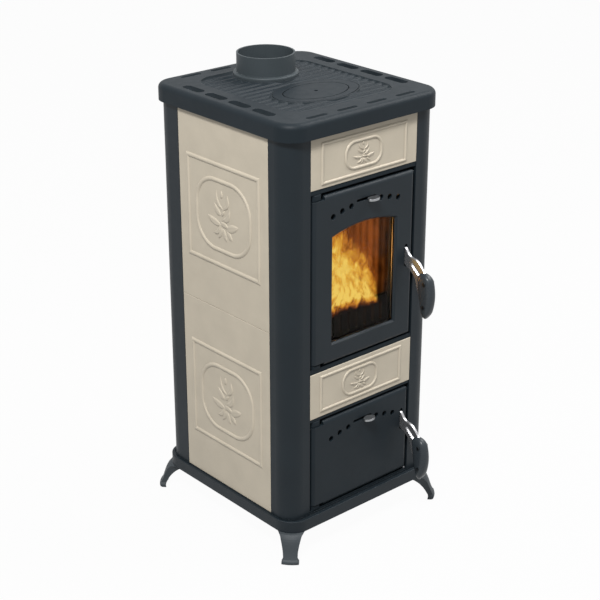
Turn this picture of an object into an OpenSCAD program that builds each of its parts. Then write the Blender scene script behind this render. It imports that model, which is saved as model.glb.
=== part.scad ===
// Free-standing wood stove: cast-iron frame and doors, glazed tiles, ribbed cooktop with a
// lift-off oval ring and lid. Millimetres, +Z up, front of the stove towards -Y, floor at Z = 0.

/* [Overall] */
// Width of the body over its corner posts
body_w = 392; // [385:1:420]
// Depth of the body over its corner posts
body_d = 402; // [396:1:430]
// Height of the cooktop above the floor
top_h = 921; // [905:1:960]
// Height of the feet under the base
foot_h = 59.5; // [54:0.5:68]
// Overhang of cooktop and base beyond the body at each side
over_x = 6; // [6:0.5:9]
// Overhang of cooktop and base beyond the body at front and back
over_y = 11.5; // [9:0.5:14]
// Corner radius of cooktop and base seen from above
corner_r = 44; // [42:1:48]

/* [Posts and tiles] */
// Outer corner radius of the posts
post_r = 38; // [34:1:40]
// Wall of the posts
post_t = 4; // [3:0.5:5]
// Width of each post on the front and back faces
post_front_w = 56.7; // [54:0.5:60]
// Width of the front posts on the side faces
post_side_w = 55.6; // [52:0.5:60]
// Width of the back posts on the side faces
post_back_w = 71.2; // [66:0.5:74]
// Width of the lip that backs each tile edge
lip_w = 10; // [7:0.5:14]
// Thickness of the ceramic tiles
tile_t = 10; // [8:0.5:12]
// Joint left round each tile
tile_gap = 0.3; // [0.2:0.05:0.6]
// Height of the relief mouldings above the tile face
relief_h = 2.4; // [1.6:0.1:3]

/* [Base and feet] */
// Height of the base from its underside to its deck
base_h = 22.5; // [20:0.5:26]
// Height of the rim above the deck
base_lip = 3; // [2:0.5:4]
// Thickness of the base rim
base_wall = 6; // [5:0.5:8]
// Thickness of the base deck
deck_t = 6; // [5:0.5:8]
// Height of the seat that carries posts and tiles above the deck
seat_h = 4; // [3.5:0.5:6]
// Reach of a toe outward from the corner centre of the base
toe_reach = 74; // [70:0.5:80]
// Width of a toe
toe_w = 35.6; // [30:0.2:40]
// Width of a foot at its ankle
ankle_w = 29.6; // [24:0.2:32]
// Width of a foot where it meets the base
foot_top_w = 47; // [42:0.5:52]
// Thickness of a foot at its ankle
foot_t = 12.4; // [10:0.2:14]

/* [Cooktop] */
// Height of the skirt round the cooktop
skirt_h = 35; // [30:1:40]
// Wall of the skirt
skirt_t = 5.5; // [4:0.25:5.5]
// Thickness of the cooktop plate
plate_t = 9; // [8:0.5:12]
// Radius of the upper edge of the cooktop
edge_r = 11; // [8:0.5:12]
// Width of the sunken ribbed field
recess_w = 277; // [260:1:285]
// Depth of the sunken ribbed field from front to back
recess_d = 317; // [300:1:325]
// Corner radius of the ribbed field
recess_r = 50; // [40:1:60]
// Distance that the ribbed field is sunk
recess_depth = 5; // [4:0.5:6]
// Spacing of the ribs
rib_pitch = 20; // [16:1:24]
// Width of a rib at its foot
rib_w = 13; // [10:0.5:15]
// Height of a rib
rib_h = 4; // [3:0.5:5]
// Length of the oval hob ring
ring_l = 193; // [184:1:200]
// Width of the oval hob ring
ring_w = 127; // [120:1:132]
// Length of the oval lid inside the ring
lid_l = 146; // [140:1:152]
// Width of the oval lid inside the ring
lid_w = 96; // [90:1:100]
// Gap round the ring and round the lid
hob_gap = 2; // [1.2:0.1:2.1]
// Width of the ledge that carries the ring and the lid
hob_ledge = 6; // [5:0.5:8]
// Sideways place of the hob ring
hob_x = 2; // [-4:1:6]
// Place of the hob ring from front to back
hob_y = -57; // [-62:1:-50]
// Length of the side vent slots
vent_l = 58; // [50:1:60]
// Width of the side vent slots
vent_w = 20; // [16:1:22]
// Spacing of the side vent slots
vent_pitch = 71; // [64:1:74]
// Length of the front and back vent slots
end_vent_l = 50; // [44:1:56]
// Width of the front and back vent slots
end_vent_w = 11; // [9:0.5:12]
// Spacing of the front and back vent slots
end_vent_pitch = 76.5; // [70:0.5:78]

/* [Flue] */
// Outside diameter of the flue collar
flue_od = 119; // [116:0.5:121]
// Wall of the flue collar
flue_t = 3.5; // [3:0.5:5]
// Height of the flue collar above the cooktop
flue_h = 45.5; // [40:0.5:60]
// Sideways place of the flue collar
flue_x = 8; // [0:1:10]
// Place of the flue collar behind the centre
flue_y = 101.5; // [98:0.5:103]
// Width of the bead at the foot of the collar
bead_w = 7; // [5:0.5:8]

/* [Front] */
// Height of the sill under the ash door
sill_h = 4; // [3:0.5:6]
// Height of the ash door opening
ash_open_h = 204.3; // [195:0.1:212]
// Height of the rail above the ash door
ash_rail_h = 6; // [5:0.1:8]
// Height of the tile between the doors
mid_tile_h = 99.4; // [92:0.1:106]
// Height of the rail under the fire door
fire_rail_h = 9.3; // [8:0.1:12]
// Height of the rail above the fire door
head_rail_h = 8.6; // [7:0.1:10]
// Height of the tile under the cooktop
head_tile_h = 112.7; // [108:0.1:118]
// Distance from the front face to the face of the front casting
casting_y = 25; // [24:0.5:28]
// Thickness of the front casting
casting_t = 6; // [5:0.5:8]

/* [Doors] */
// Distance that the doors stand proud of the posts
door_proud = 2; // [1:0.25:3]
// Depth of a door casting
door_t = 19; // [18.5:0.25:20]
// Thickness of a door face
face_t = 8; // [7:0.5:9]
// Wall round the back of a door
door_wall = 6; // [5:0.5:7]
// Radius of the door edges
door_r = 9; // [8:0.5:10]
// Gap at the hinge edge of a door
hinge_gap = 4.6; // [4:0.1:5.4]
// Gap at the latch edge of a door
latch_gap = 4.3; // [3.8:0.1:5.4]
// Gap under a door
low_gap = 2.5; // [2:0.25:3.5]
// Gap above a door
high_gap = 6; // [5:0.25:7]
// Radius of the hinge pins
pin_r = 3.5; // [3:0.25:4]
// Running clearance of pins in their holes, on the radius
pin_fit = 0.08; // [0.04:0.01:0.1]
// Length of a hinge lug along the door edge
lug_w = 23.5; // [21:0.5:26]
// Depth of the notch that clears a hinge lug
notch_h = 8; // [7:0.5:9]
// Distance from each upright edge of the fire door to the window
window_side = 47.35; // [46.5:0.05:52]
// Height of the window's lower edge above the bottom of the door
window_low = 39; // [36:0.5:44]
// Distance from the crown of the window to the top of the door
window_drop = 73; // [70:0.5:80]
// Rise of the window's arched top
arch_rise = 14; // [10:0.5:20]
// Width of the bevel round the window
bevel_w = 4; // [3.5:0.25:4.5]
// Thickness of the door glass
glass_t = 4; // [3.5:0.5:5]
// Depth of the seat that the glass lies in, cut in the back of the door face
glass_seat = 3; // [2:0.5:3.5]
// Lap of the glass behind the window edge
glass_lap = 7; // [6.5:0.25:7.5]

/* [Air controls] */
// Distance from the top of a door to its air slot
air_drop = 30; // [29.5:0.25:31]
// Diameter of the air holes
air_d = 12; // [9:0.5:13]
// Distance of the first air hole from the middle
air_first = 39.5; // [37:0.5:42]
// Spacing of the air holes
air_pitch = 23.5; // [21:0.5:24]
// Radius of the arc that the air holes lie on
air_arc_r = 296; // [280:1:360]
// Length of the slot for the control tab
air_slot_l = 51; // [48:0.5:54]
// Height of the slot for the control tab
air_slot_h = 6; // [5.5:0.25:7]
// Thickness of an air slide
slide_t = 2; // [1.5:0.25:2.5]

/* [Handles] */
// Distance from the top of the fire door to its handle slot centre
fire_handle_drop = 178; // [165:1:200]
// Distance from the top of the ash door to its handle slot centre
ash_handle_drop = 71; // [68:1:75]
// Distance of the handle from the latch edge of the door
handle_in = 19; // [18.5:0.25:19.5]
// Thickness of the lever
lever_t = 6; // [5:0.25:6]
// Width of the handle slot
handle_slot_w = 8; // [7:0.25:8.5]
// Height of the handle slot
handle_slot_h = 49; // [46:0.5:54]
// Reach of the grip in front of the door face
grip_reach = 80; // [74:0.5:90]
// Width of the grip
grip_w = 24; // [20:0.5:28]
// Length of the grip
grip_l = 98; // [90:1:106]

/* [Firebox] */
// Width of the firebox over its steel walls
box_w = 300; // [290:1:310]
// Wall of the firebox
box_t = 4; // [3:0.5:5]
// Distance from the back of the firebox to the back face of the body
box_back = 36; // [34:1:40]
// Height of the hearth above the bottom of the fire opening
hearth_up = 18; // [14:1:22]
// Thickness of the firebricks
brick_t = 25; // [20:1:30]
// Height of the firebricks
brick_h = 295; // [270:1:310]
// Height of the log guard above the hearth
guard_h = 66; // [50:1:75]
// Height of the ash drawer
drawer_h = 90; // [70:1:110]

/* [Hidden] */
$fn = 64;

iron = [0.20, 0.22, 0.24];
iron_light = [0.28, 0.30, 0.32];
cream = [0.73, 0.69, 0.62];
chrome = [0.80, 0.80, 0.80];
steel = [0.45, 0.46, 0.48];
brick = [0.76, 0.66, 0.50];
rope = [0.62, 0.60, 0.56];
grip_colour = [0.17, 0.19, 0.21];

seat_gap = 0.3;
eps = 0.01;

// Heights
deck_z = foot_h + base_h;
lip_z = deck_z + base_lip;
seat_z = deck_z + seat_h;
under_plate_z = top_h - plate_t;
top_frame_h = 18;
stack_z = under_plate_z - top_frame_h;
tile_h = (stack_z - seat_z) / 2;

ash_z0 = seat_z + sill_h;
ash_z1 = ash_z0 + ash_open_h;
mid_tile_z = ash_z1 + ash_rail_h;
fire_z0 = mid_tile_z + mid_tile_h + fire_rail_h;
head_tile_z = stack_z - head_tile_h;
fire_z1 = head_tile_z - head_rail_h;

// Outline of the base and cooktop
plan_w = body_w + 2 * over_x;
plan_d = body_d + 2 * over_y;

// Planes from front to back
front_y = -body_d / 2;
door_y = front_y - door_proud;
face_back_y = door_y + face_t;
casting_face_y = front_y + casting_y;
casting_back_y = casting_face_y + casting_t;
box_back_y = body_d / 2 - box_back;

// Doors
open_x = body_w / 2 - post_front_w;
door_x0 = -open_x + hinge_gap;
door_x1 = open_x - latch_gap;
door_w = door_x1 - door_x0;
window_w = door_w - 2 * window_side;
fire_door_z0 = fire_z0 + low_gap;
fire_door_z1 = fire_z1 - high_gap;
ash_door_z0 = ash_z0 + low_gap;
ash_door_z1 = ash_z1 - high_gap;
hinge_in = 8.5;
hinge_x = door_x0 + hinge_in;
hinge_y = door_y + hinge_in;
handle_x = door_x1 - handle_in;
window_shift = 1.35;
window_x = door_x0 + door_w / 2 + window_shift;
air_x = window_x + 1.5;

// Seal path on the back of each door
seal_r = 3.5;
land_w = 7.4;
ear_gap = 1;
ear_t = 5;
land_x0 = door_x0 + 10.7;
land_x1 = handle_x - lever_t / 2 - ear_gap - 3;
seal_y = casting_face_y - seat_gap - seal_r;
land_back_y = seal_y - 1;
land_low = 16.5;
land_high = 14;

// Handle pivot
pivot_y = door_y + 12;
pivot_r = 3;
fire_handle_z = fire_door_z1 - fire_handle_drop;
ash_handle_z = ash_door_z1 - ash_handle_drop;

// The toe corners and the grips are the outermost points, and the origin lies on the floor
// midway between them.
toe_side = (sqrt(toe_reach * toe_reach - toe_w * toe_w / 4) + toe_w / 2) / sqrt(2);
back_reach = plan_d / 2 - corner_r + toe_side;
front_reach = -door_y + grip_reach;
shift_y = (front_reach - back_reach) / 2;

module place() translate([0, shift_y, 0]) children();

// Helpers that carry a flat outline along an axis. along_x takes (y, z), along_y takes (x, z).
module along_x(x0, length)
    translate([x0, 0, 0]) rotate([90, 0, 90]) linear_extrude(length) children();
module along_y(y0, length)
    translate([0, y0 + length, 0]) rotate([90, 0, 0]) linear_extrude(length) children();
module along_z(z0, length) translate([0, 0, z0]) linear_extrude(length) children();

module block(x, y, z) translate([x[0], y[0], z[0]]) cube([x[1] - x[0], y[1] - y[0], z[1] - z[0]]);

module rounded_rect(w, d, r) {
    square([w - 2 * r, d], center = true);
    square([w, d - 2 * r], center = true);
    for (sx = [-1, 1]) for (sy = [-1, 1])
        translate([sx * (w / 2 - r), sy * (d / 2 - r)]) circle(r);
}

// Oval of four tangent arcs: two of end_r at the ends and two wide ones at the sides
module oval(length, width) {
    a = length / 2;
    b = width / 2;
    end_r = b * b / a * 1.12;
    side_r = ((a - end_r) * (a - end_r) + b * b - end_r * end_r) / (2 * (b - end_r));
    meet_x = (a - end_r) * side_r / (side_r - end_r);
    intersection() {
        translate([0, b - side_r]) circle(side_r, $fn = 180);
        translate([0, side_r - b]) circle(side_r, $fn = 180);
        square([2 * meet_x, width + 2], center = true);
    }
    for (s = [-1, 1]) translate([s * (a - end_r), 0]) circle(end_r);
}

module stadium(length, width) {
    square([length - width, width], center = true);
    for (s = [-1, 1]) translate([s * (length - width) / 2, 0]) circle(width / 2);
}

// Point of a cubic Bezier curve and a row of such points
function curve_point(p, t) =
    pow(1 - t, 3) * p[0] + 3 * pow(1 - t, 2) * t * p[1] + 3 * (1 - t) * t * t * p[2] + t * t * t * p[3];
function curve(p, steps) = [for (i = [0 : steps]) curve_point(p, i / steps)];

// Carries a section round a rounded rectangle; the section's x is the distance outward from
// the corner centres, so its outer edge lies at x = r.
module swept_rim(w, d, r) {
    cx = w / 2 - r;
    cy = d / 2 - r;
    for (q = [[1, 1, 0], [-1, 1, 90], [-1, -1, 180], [1, -1, 270]])
        translate([q[0] * cx, q[1] * cy, 0]) rotate([0, 0, q[2]]) rotate_extrude(angle = 90) children();
    for (s = [0, 180]) rotate([0, 0, s]) {
        translate([cx, cy, 0]) rotate([90, 0, 0]) linear_extrude(2 * cy) children();
        rotate([0, 0, 90]) translate([cy, cx, 0]) rotate([90, 0, 0]) linear_extrude(2 * cx) children();
    }
}

// Base

module base_section() {
    translate([corner_r - base_wall, foot_h]) square([base_wall, base_h + base_lip - 1.5]);
    translate([corner_r - base_wall + 1.5, foot_h]) square([base_wall - 3, base_h + base_lip]);
    for (x = [corner_r - base_wall + 1.5, corner_r - 1.5]) translate([x, lip_z - 1.5]) circle(1.5);
    translate([0, deck_z - deck_t]) square([corner_r - base_wall / 2, deck_t]);
}

module base_frame() color(iron) place() difference() {
    union() {
        swept_rim(plan_w, plan_d, corner_r) base_section();
        block([-plan_w / 2 + corner_r, plan_w / 2 - corner_r],
            [-plan_d / 2 + corner_r, plan_d / 2 - corner_r], [deck_z - deck_t, deck_z]);
        along_z(deck_z - eps, seat_h + eps) rounded_rect(body_w, body_d, post_r);
        for (x = [-1, 1]) block([x * body_w / 5 - 3, x * body_w / 5 + 3],
            [-plan_d / 2 + base_wall, plan_d / 2 - base_wall], [foot_h + 4, deck_z - deck_t + eps]);
    }
    // inlets for the air that rises between firebox and tiles
    for (s = [-1, 1]) for (i = [0 : 3])
        translate([s * vent_x, (i - 1.5) * vent_pitch, foot_h]) along_z(0, base_h + seat_h + 1)
            rotate(90) stadium(vent_l, vent_w - 8);
    at_corners() along_z_hole();
}

// Tie rods run through the feet, the deck and the top frame, inside the posts
rod_r = 4;
rod_in = 14;
nut_r = 7.5;
nut_h = 6;
module at_corners()
    for (sx = [-1, 1]) for (sy = [-1, 1])
        translate([sx * (body_w / 2 - post_r + rod_in), sy * (body_d / 2 - post_r + rod_in), 0]) children();
module along_z_hole() translate([0, 0, foot_h - 1]) cylinder(r = rod_r + 0.3, h = top_h);

// Feet: the side outline of a scrolled leg, turned about the corner, crossed with its front outline

foot_roll = 6;
foot_pad_h = base_h - deck_t;
module foot_side() {
    outer = curve([[corner_r, foot_h], [corner_r + 16, foot_h - 4], [corner_r + 17, foot_h * 0.52],
        [toe_reach - 3.5, 2 * foot_roll]], 10);
    toe = [for (a = [50, 25, 0, -30, -60, -90])
        [toe_reach - foot_roll + foot_roll * cos(a), foot_roll + foot_roll * sin(a)]];
    inner = curve([[toe_reach - foot_t, foot_roll + 2], [toe_reach - foot_t - 9, foot_h * 0.42],
        [corner_r - 1, foot_h - 12], [corner_r - 28, foot_h]], 10);
    polygon(concat(outer, toe, [[toe_reach - foot_t - 1, 0]], inner));
}

module foot_front() {
    flare = curve([[foot_top_w / 2 + 7, foot_h + 1], [foot_top_w / 2 + 2, foot_h - 0.5],
        [foot_top_w / 2 + 0.3, foot_h - 2.5], [foot_top_w / 2 - 1.6, foot_h - 5]], 5);
    shank = curve([[foot_top_w / 2 - 1.9, foot_h - 6], [ankle_w / 2 + 3, foot_h * 0.7],
        [ankle_w / 2 - 0.6, foot_h * 0.42], [ankle_w / 2, foot_roll + 5]], 10);
    side = concat(flare, shank, [[toe_w / 2, foot_roll + 0.5], [toe_w / 2, 0]]);
    polygon(concat(side, [for (i = [len(side) - 1 : -1 : 0]) [-side[i][0], side[i][1]]]));
}

// One foot, at corner (sx, sy)
module foot(sx, sy) color(iron) place() difference() {
    translate([sx * (plan_w / 2 - corner_r), sy * (plan_d / 2 - corner_r), 0])
        rotate([0, 0, atan2(sy, sx)]) union() {
            intersection() {
                rotate([0, 0, -60]) rotate_extrude(angle = 120, $fn = 36) foot_side();
                rotate([90, 0, 90]) linear_extrude(2 * toe_reach) foot_front();
            }
            // pad that is bolted under the deck
            translate([0, 0, foot_h - eps]) intersection() {
                cylinder(r = corner_r - base_wall - seat_gap, h = foot_pad_h + eps);
                translate([0, -foot_top_w / 2, 0]) cube([corner_r, foot_top_w, foot_pad_h + eps]);
            }
        }
    at_corners() along_z_hole();
    at_corners() cylinder(r = nut_r + 1, h = foot_h);
}

module foot_front_left() foot(-1, -1);
module foot_front_right() foot(1, -1);
module foot_back_left() foot(-1, 1);
module foot_back_right() foot(1, 1);

// Corner posts

// Section of a post with its corner at the origin: face_w along x, side_w along y, then a
// return of return_d behind the face edge and a lipped return at the side edge.
module post_section(face_w, side_w, return_d, lipped) {
    difference() {
        union() {
            intersection() {
                translate([post_r, post_r]) circle(post_r);
                square(post_r);
            }
            translate([post_r, 0]) square([face_w - post_r, post_r]);
            translate([0, post_r]) square([post_r, side_w - post_r]);
        }
        translate([post_r, post_r]) circle(post_r - post_t);
        translate([post_r, post_t]) square([face_w, side_w]);
        translate([post_t, post_r]) square([face_w, side_w]);
    }
    translate([face_w - post_t, 0]) square([post_t, return_d]);
    translate([0, side_w - post_t]) square([tile_t + post_t, post_t]);
    translate([tile_t, side_w - post_t]) square([post_t, post_t + lip_w]);
    if (lipped) translate([face_w - post_t, return_d - post_t]) square([post_t + lip_w, post_t]);
}

module post(sx, sy, side_w, return_d, lipped) color(iron) place()
    translate([sx * body_w / 2, sy * body_d / 2, seat_z])
        mirror([sx > 0 ? 1 : 0, 0, 0]) mirror([0, sy > 0 ? 1 : 0, 0])
            linear_extrude(stack_z - seat_z) post_section(post_front_w, side_w, return_d, lipped);

panel_t = 1.5;
panel_in = 6;
module post_front_left() post(-1, -1, post_side_w, casting_y, false);
module post_front_right() post(1, -1, post_side_w, casting_y, false);
module post_back_left() post(-1, 1, post_back_w, panel_in + panel_t + post_t, true);
module post_back_right() post(1, 1, post_back_w, panel_in + panel_t + post_t, true);

// Tiles. Each is drawn face up in its own plane and then stood against its wall.

// Section of a moulding: a low round crown over a foot that is sunk in the tile
moulding_foot = 0.2;
module moulding_section(width) {
    crown_h = relief_h - moulding_foot;
    crown_r = (width * width / 4 + crown_h * crown_h) / (2 * crown_h);
    intersection() {
        translate([0, relief_h - crown_r]) circle(crown_r);
        translate([-width / 2, -0.5]) square([width, relief_h + 1]);
    }
}

// Bar along x with its ends mitred, longer on its +y edge
module moulding_bar(length, width) intersection() {
    rotate([90, 0, 90]) translate([0, 0, -length / 2]) linear_extrude(length) moulding_section(width);
    translate([0, 0, -1]) linear_extrude(relief_h + 2) polygon([
        [-length / 2, width / 2], [length / 2, width / 2],
        [length / 2 - width, -width / 2], [-length / 2 + width, -width / 2]]);
}

// Rectangular moulding, w by h over its outside edges
module moulding_frame(w, h, bar)
    for (s = [0, 180]) rotate([0, 0, s]) {
        translate([0, (h - bar) / 2, 0]) moulding_bar(w, bar);
        rotate([0, 0, 90]) translate([0, (w - bar) / 2, 0]) moulding_bar(h, bar);
    }

// Moulding ring, an oval squared at its sides, w by h over its outside edges
module moulding_ring(w, h, bar, r)
    swept_rim(w, h, r) translate([r - bar / 2, 0]) moulding_section(bar);

tile_round = 1.2;
module tile_blank(w, h) {
    intersection() {
        translate([-w / 2, 0, 0]) rotate([90, 0, 90]) linear_extrude(w) tile_edge(h);
        translate([0, h / 2, 0]) rotate([90, 0, 0]) linear_extrude(h) tile_edge(w);
    }
}
module tile_edge(w) {
    translate([-w / 2, -tile_t]) square([w, tile_t - tile_round]);
    translate([-w / 2 + tile_round, -tile_t]) square([w - 2 * tile_round, tile_t]);
    for (s = [-1, 1]) translate([s * (w / 2 - tile_round), -tile_round]) circle(tile_round, $fn = 24);
}

// Side tile: face plane at z = 0, x runs along the wall, y runs up
side_tile_w = body_d - post_side_w - post_back_w - 2 * tile_gap;
side_margin_x = 24.3;
side_frame_w = side_tile_w - 2 * side_margin_x;
side_margin_z = 93.5;
side_frame_h = tile_h - 2 * side_margin_z;
side_ring_w = 174.5;
side_ring_h = 153;
side_ring_r = 62;
side_bar = 9;
module side_tile() {
    tile_blank(side_tile_w, tile_h - tile_gap);
    moulding_frame(side_frame_w, side_frame_h, side_bar);
    moulding_ring(side_ring_w, side_ring_h, side_bar, side_ring_r);
}

side_tile_y = (post_side_w - post_back_w) / 2;
module wall_tile(side, level) color(cream) place()
    translate([side * body_w / 2, side_tile_y, seat_z + tile_h * (level + 0.5)])
        rotate([90, 0, side * 90]) side_tile();

module tile_left_lower() wall_tile(-1, 0);
module tile_left_upper() wall_tile(-1, 1);
module tile_right_lower() wall_tile(1, 0);
module tile_right_upper() wall_tile(1, 1);

front_tile_w = 2 * (open_x - tile_gap);
front_ring_w = 99;
front_ring_h = 59;
front_ring_r = 26;
front_ring_x = -4;
front_frame_w = 224;
front_bar = 6;
head_frame_h = 84;
head_rise = -7;
middle_frame_h = 80;
middle_rise = 1;
module front_tile(h, z, frame_h, rise) color(cream) place()
    translate([0, front_y, z + h / 2]) rotate([90, 0, 0]) {
        tile_blank(front_tile_w, h - 2 * tile_gap);
        translate([-1, rise, 0]) moulding_frame(front_frame_w, frame_h, front_bar);
        translate([front_ring_x, rise, 0])
            moulding_ring(front_ring_w, front_ring_h, front_bar, front_ring_r);
    }

module tile_front_head() front_tile(head_tile_h, head_tile_z, head_frame_h, head_rise);
module tile_front_middle() front_tile(mid_tile_h, mid_tile_z, middle_frame_h, middle_rise);

// Front casting: sealing face behind the doors, rails between doors and tiles, hinge lugs

fire_hole_x0 = land_x0 + land_w + 3;
fire_hole_x1 = land_x1 - land_w - 3;
hole_low = land_low + land_w + 3;
hole_high = land_high + land_w + 3;
module hole_in_casting(z0, z1)
    block([fire_hole_x0, fire_hole_x1], [casting_face_y - 1, casting_back_y + 1],
        [z0 + hole_low, z1 - hole_high]);

module rail(z0, z1)
    block([-open_x + tile_gap, open_x - tile_gap], [front_y + 1, casting_face_y + eps], [z0, z1]);

lug_d = 13;
lug_slope = 2.8;
lug_x0 = hinge_x - lug_d / 2 - 0.5;
lug_x1 = lug_x0 + lug_w;
module lug(z0, z1) difference() {
    union() {
        block([lug_x0, lug_x1], [hinge_y, casting_face_y + eps], [z0, z1]);
        block([lug_x0 + lug_d / 2, lug_x1 - lug_d / 2], [hinge_y - lug_d / 2, hinge_y + 1], [z0, z1]);
        for (x = [lug_x0 + lug_d / 2, lug_x1 - lug_d / 2]) translate([x, hinge_y, z0])
            cylinder(r = lug_d / 2, h = z1 - z0);
    }
    translate([hinge_x, hinge_y, z0 - 1]) cylinder(r = pin_r + pin_fit, h = z1 - z0 + 2);
    // sloped upper edge
    along_x(lug_x0 - 1, lug_w + 2) translate([hinge_y - lug_d / 2, z1])
        polygon([[-1, -lug_slope - 1], [lug_slope + 1, 1], [-1, 1]]);
}

// Window in the casting that the lever nose swings down through
nose_swing = 16;
module keeper_window(z) block([handle_x - lever_t / 2 - 1, handle_x + lever_t / 2 + 1],
    [casting_face_y - 1, casting_back_y + 1], [z - nose_swing, z + keeper_z + keeper_r]);

module front_casting() color(iron) place() difference() {
    union() {
        block([-box_w / 2, box_w / 2], [casting_face_y, casting_back_y], [seat_z, stack_z]);
        rail(seat_z, ash_z0);
        rail(ash_z1, mid_tile_z);
        rail(fire_z0 - fire_rail_h, fire_z0);
        rail(fire_z1, head_tile_z);
        for (z = [ash_z0, fire_z0]) lug(z - eps, z + low_gap + notch_h - 1);
        for (z = [ash_z1, fire_z1]) lug(z - high_gap - notch_h + 1, z + eps);
        // pads that back the two front tiles
        for (t = [[mid_tile_z, mid_tile_h], [head_tile_z, head_tile_h]]) for (f = [0.25, 0.75])
            block([-open_x + 15, open_x - 15], [front_y + tile_t + seat_gap, casting_face_y + eps],
                [t[0] + t[1] * f - 4, t[0] + t[1] * f + 4]);
    }
    hole_in_casting(ash_door_z0, ash_door_z1);
    hole_in_casting(fire_door_z0, fire_door_z1);
    keeper_window(ash_handle_z);
    keeper_window(fire_handle_z);
}

hinge_pin_l = 24;
module hinge_pins() color(steel) place()
    for (d = [[ash_z0, ash_z1], [fire_z0, fire_z1]]) {
        translate([hinge_x, hinge_y, d[0] + 1]) cylinder(r = pin_r, h = hinge_pin_l);
        translate([hinge_x, hinge_y, d[1] - 1 - hinge_pin_l]) cylinder(r = pin_r, h = hinge_pin_l);
    }

// Round keeper bars welded across the latch windows; the lever noses bear on them from below
keeper_r = 3;
keeper_z = 16;
module latch_keepers() color(steel) place()
    for (z = [ash_handle_z, fire_handle_z])
        translate([land_x1 + seat_gap, casting_face_y - keeper_r, z + keeper_z]) rotate([0, 90, 0])
            cylinder(r = keeper_r, h = 2 * (handle_x - land_x1 - seat_gap) + 4);

// Peg under the rounded corner of the ash door
rest_r = 2.4;
rest_top = 1.2;
rest_in = 1.5;
rest_y = front_y + 1 + rest_r + 0.2;
module ash_door_rest() color(chrome) place() translate([door_x1 - rest_in, rest_y, ash_z0]) {
    cylinder(r = rest_r, h = low_gap);
    translate([0, 0, low_gap]) cylinder(r1 = rest_r, r2 = rest_r - 0.8, h = rest_top);
}

// Doors

module door_edge(w, t) {
    translate([door_r, 0]) square([w - 2 * door_r, t]);
    translate([0, door_r]) square([w, t - door_r]);
    for (x = [door_r, w - door_r]) translate([x, door_r]) circle(door_r);
}

module door_shell(z0, z1) difference() {
    intersection() {
        along_z(z0, z1 - z0) translate([door_x0, door_y]) door_edge(door_w, door_t);
        along_x(door_x0, door_w) translate([door_y, z1]) rotate(-90) door_edge(z1 - z0, door_t);
        along_y(door_y, door_t) translate([door_x0 + door_w / 2, (z0 + z1) / 2])
            rounded_rect(door_w, z1 - z0, door_r);
    }
    block([door_x0 + door_wall, door_x1 - door_wall], [face_back_y, door_y + door_t + 1],
        [z0 + door_wall, z1 - door_wall]);
}

// Land that carries the rope seal, with the rope's groove
module seal_land(z0, z1) difference() {
    block([land_x0, land_x1], [face_back_y - eps, land_back_y], [z0 + land_low, z1 - land_high]);
    block([land_x0 + land_w, land_x1 - land_w], [face_back_y - 1, land_back_y + 1],
        [z0 + land_low + land_w, z1 - land_high - land_w]);
    seal_rope(z0, z1, seal_r + 0.05);
}

module seal_rope(z0, z1, r) {
    w = land_x1 - land_x0 - land_w;
    h = z1 - z0 - land_low - land_high - land_w;
    bend = 8;
    translate([(land_x0 + land_x1) / 2, seal_y, (z0 + land_low + z1 - land_high) / 2]) rotate([90, 0, 0])
        swept_rim(w + 2 * 4, h + 2 * 4, bend + 4) translate([bend, 0]) circle(r, $fn = 32);
}

module hinge_bosses(z0, z1)
    for (z = [z0 + notch_h, z1 - notch_h - hinge_pin_l])
        translate([hinge_x, hinge_y, z]) cylinder(r = hinge_in - 0.5, h = hinge_pin_l);

module hinge_notches(z0, z1) {
    x1 = lug_x1 + 5.5;
    for (z = [[z0 - 1, z0 + notch_h], [z1 - notch_h, z1 + 1]])
        block([door_x0 - 1, x1], [door_y - 1, door_y + door_t + 1], z);
    for (z = [z0 + notch_h - 1, z1 - notch_h - hinge_pin_l + 2])
        translate([hinge_x, hinge_y, z]) cylinder(r = pin_r + pin_fit, h = hinge_pin_l);
}

function air_z(x, slot_z) = slot_z - 4.4 - air_arc_r + sqrt(air_arc_r * air_arc_r - x * x);

module air_pattern(slot_z, d)
    for (s = [-1, 1]) for (i = [0 : 2])
        translate([air_x + s * (air_first + i * air_pitch), air_z(air_first + i * air_pitch, slot_z)])
            circle(d / 2);

// Two shoulder screws hold each slide against the back of its door
slide_screw_x = 22;
slide_screw_z = -17;
slide_travel = 20;
tab_rest = slide_travel / 2;

module air_cuts(z1) {
    slot_z = z1 - air_drop;
    along_y(door_y - 1, face_t + 2) air_pattern(slot_z, air_d);
    along_y(door_y - 1, face_t + 2) translate([air_x, slot_z]) stadium(air_slot_l, air_slot_h);
    for (s = [-1, 1]) translate([air_x + s * slide_screw_x, face_back_y - 5, slot_z + slide_screw_z])
        rotate([-90, 0, 0]) cylinder(r = 2.1, h = 8);
}

module handle_cuts(z) {
    along_y(door_y - 1, face_t + 2) translate([handle_x, z]) rotate(90)
        stadium(handle_slot_h, handle_slot_w);
    translate([handle_x - lever_t / 2 - ear_gap - ear_t - 1, pivot_y, z]) rotate([0, 90, 0])
        cylinder(r = pivot_r + pin_fit, h = door_w);
}

// Ears beside the lever that carry its pivot
module handle_ears(z)
    for (x = [[handle_x - lever_t / 2 - ear_gap - ear_t, handle_x - lever_t / 2 - ear_gap],
        [handle_x + lever_t / 2 + ear_gap, door_x1 - 1]])
        along_x(x[0], x[1] - x[0]) {
            translate([face_back_y - 1, z - 8]) square([pivot_y - face_back_y + 1, 16]);
            translate([pivot_y, z]) circle(8 - 1.5);
        }

module door_casting(z0, z1, handle_z) difference() {
    union() {
        difference() {
            union() {
                door_shell(z0, z1);
                seal_land(z0, z1);
            }
            air_cuts(z1);
        }
        hinge_bosses(z0, z1);
        handle_ears(handle_z);
    }
    hinge_notches(z0, z1);
    handle_cuts(handle_z);
}

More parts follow.
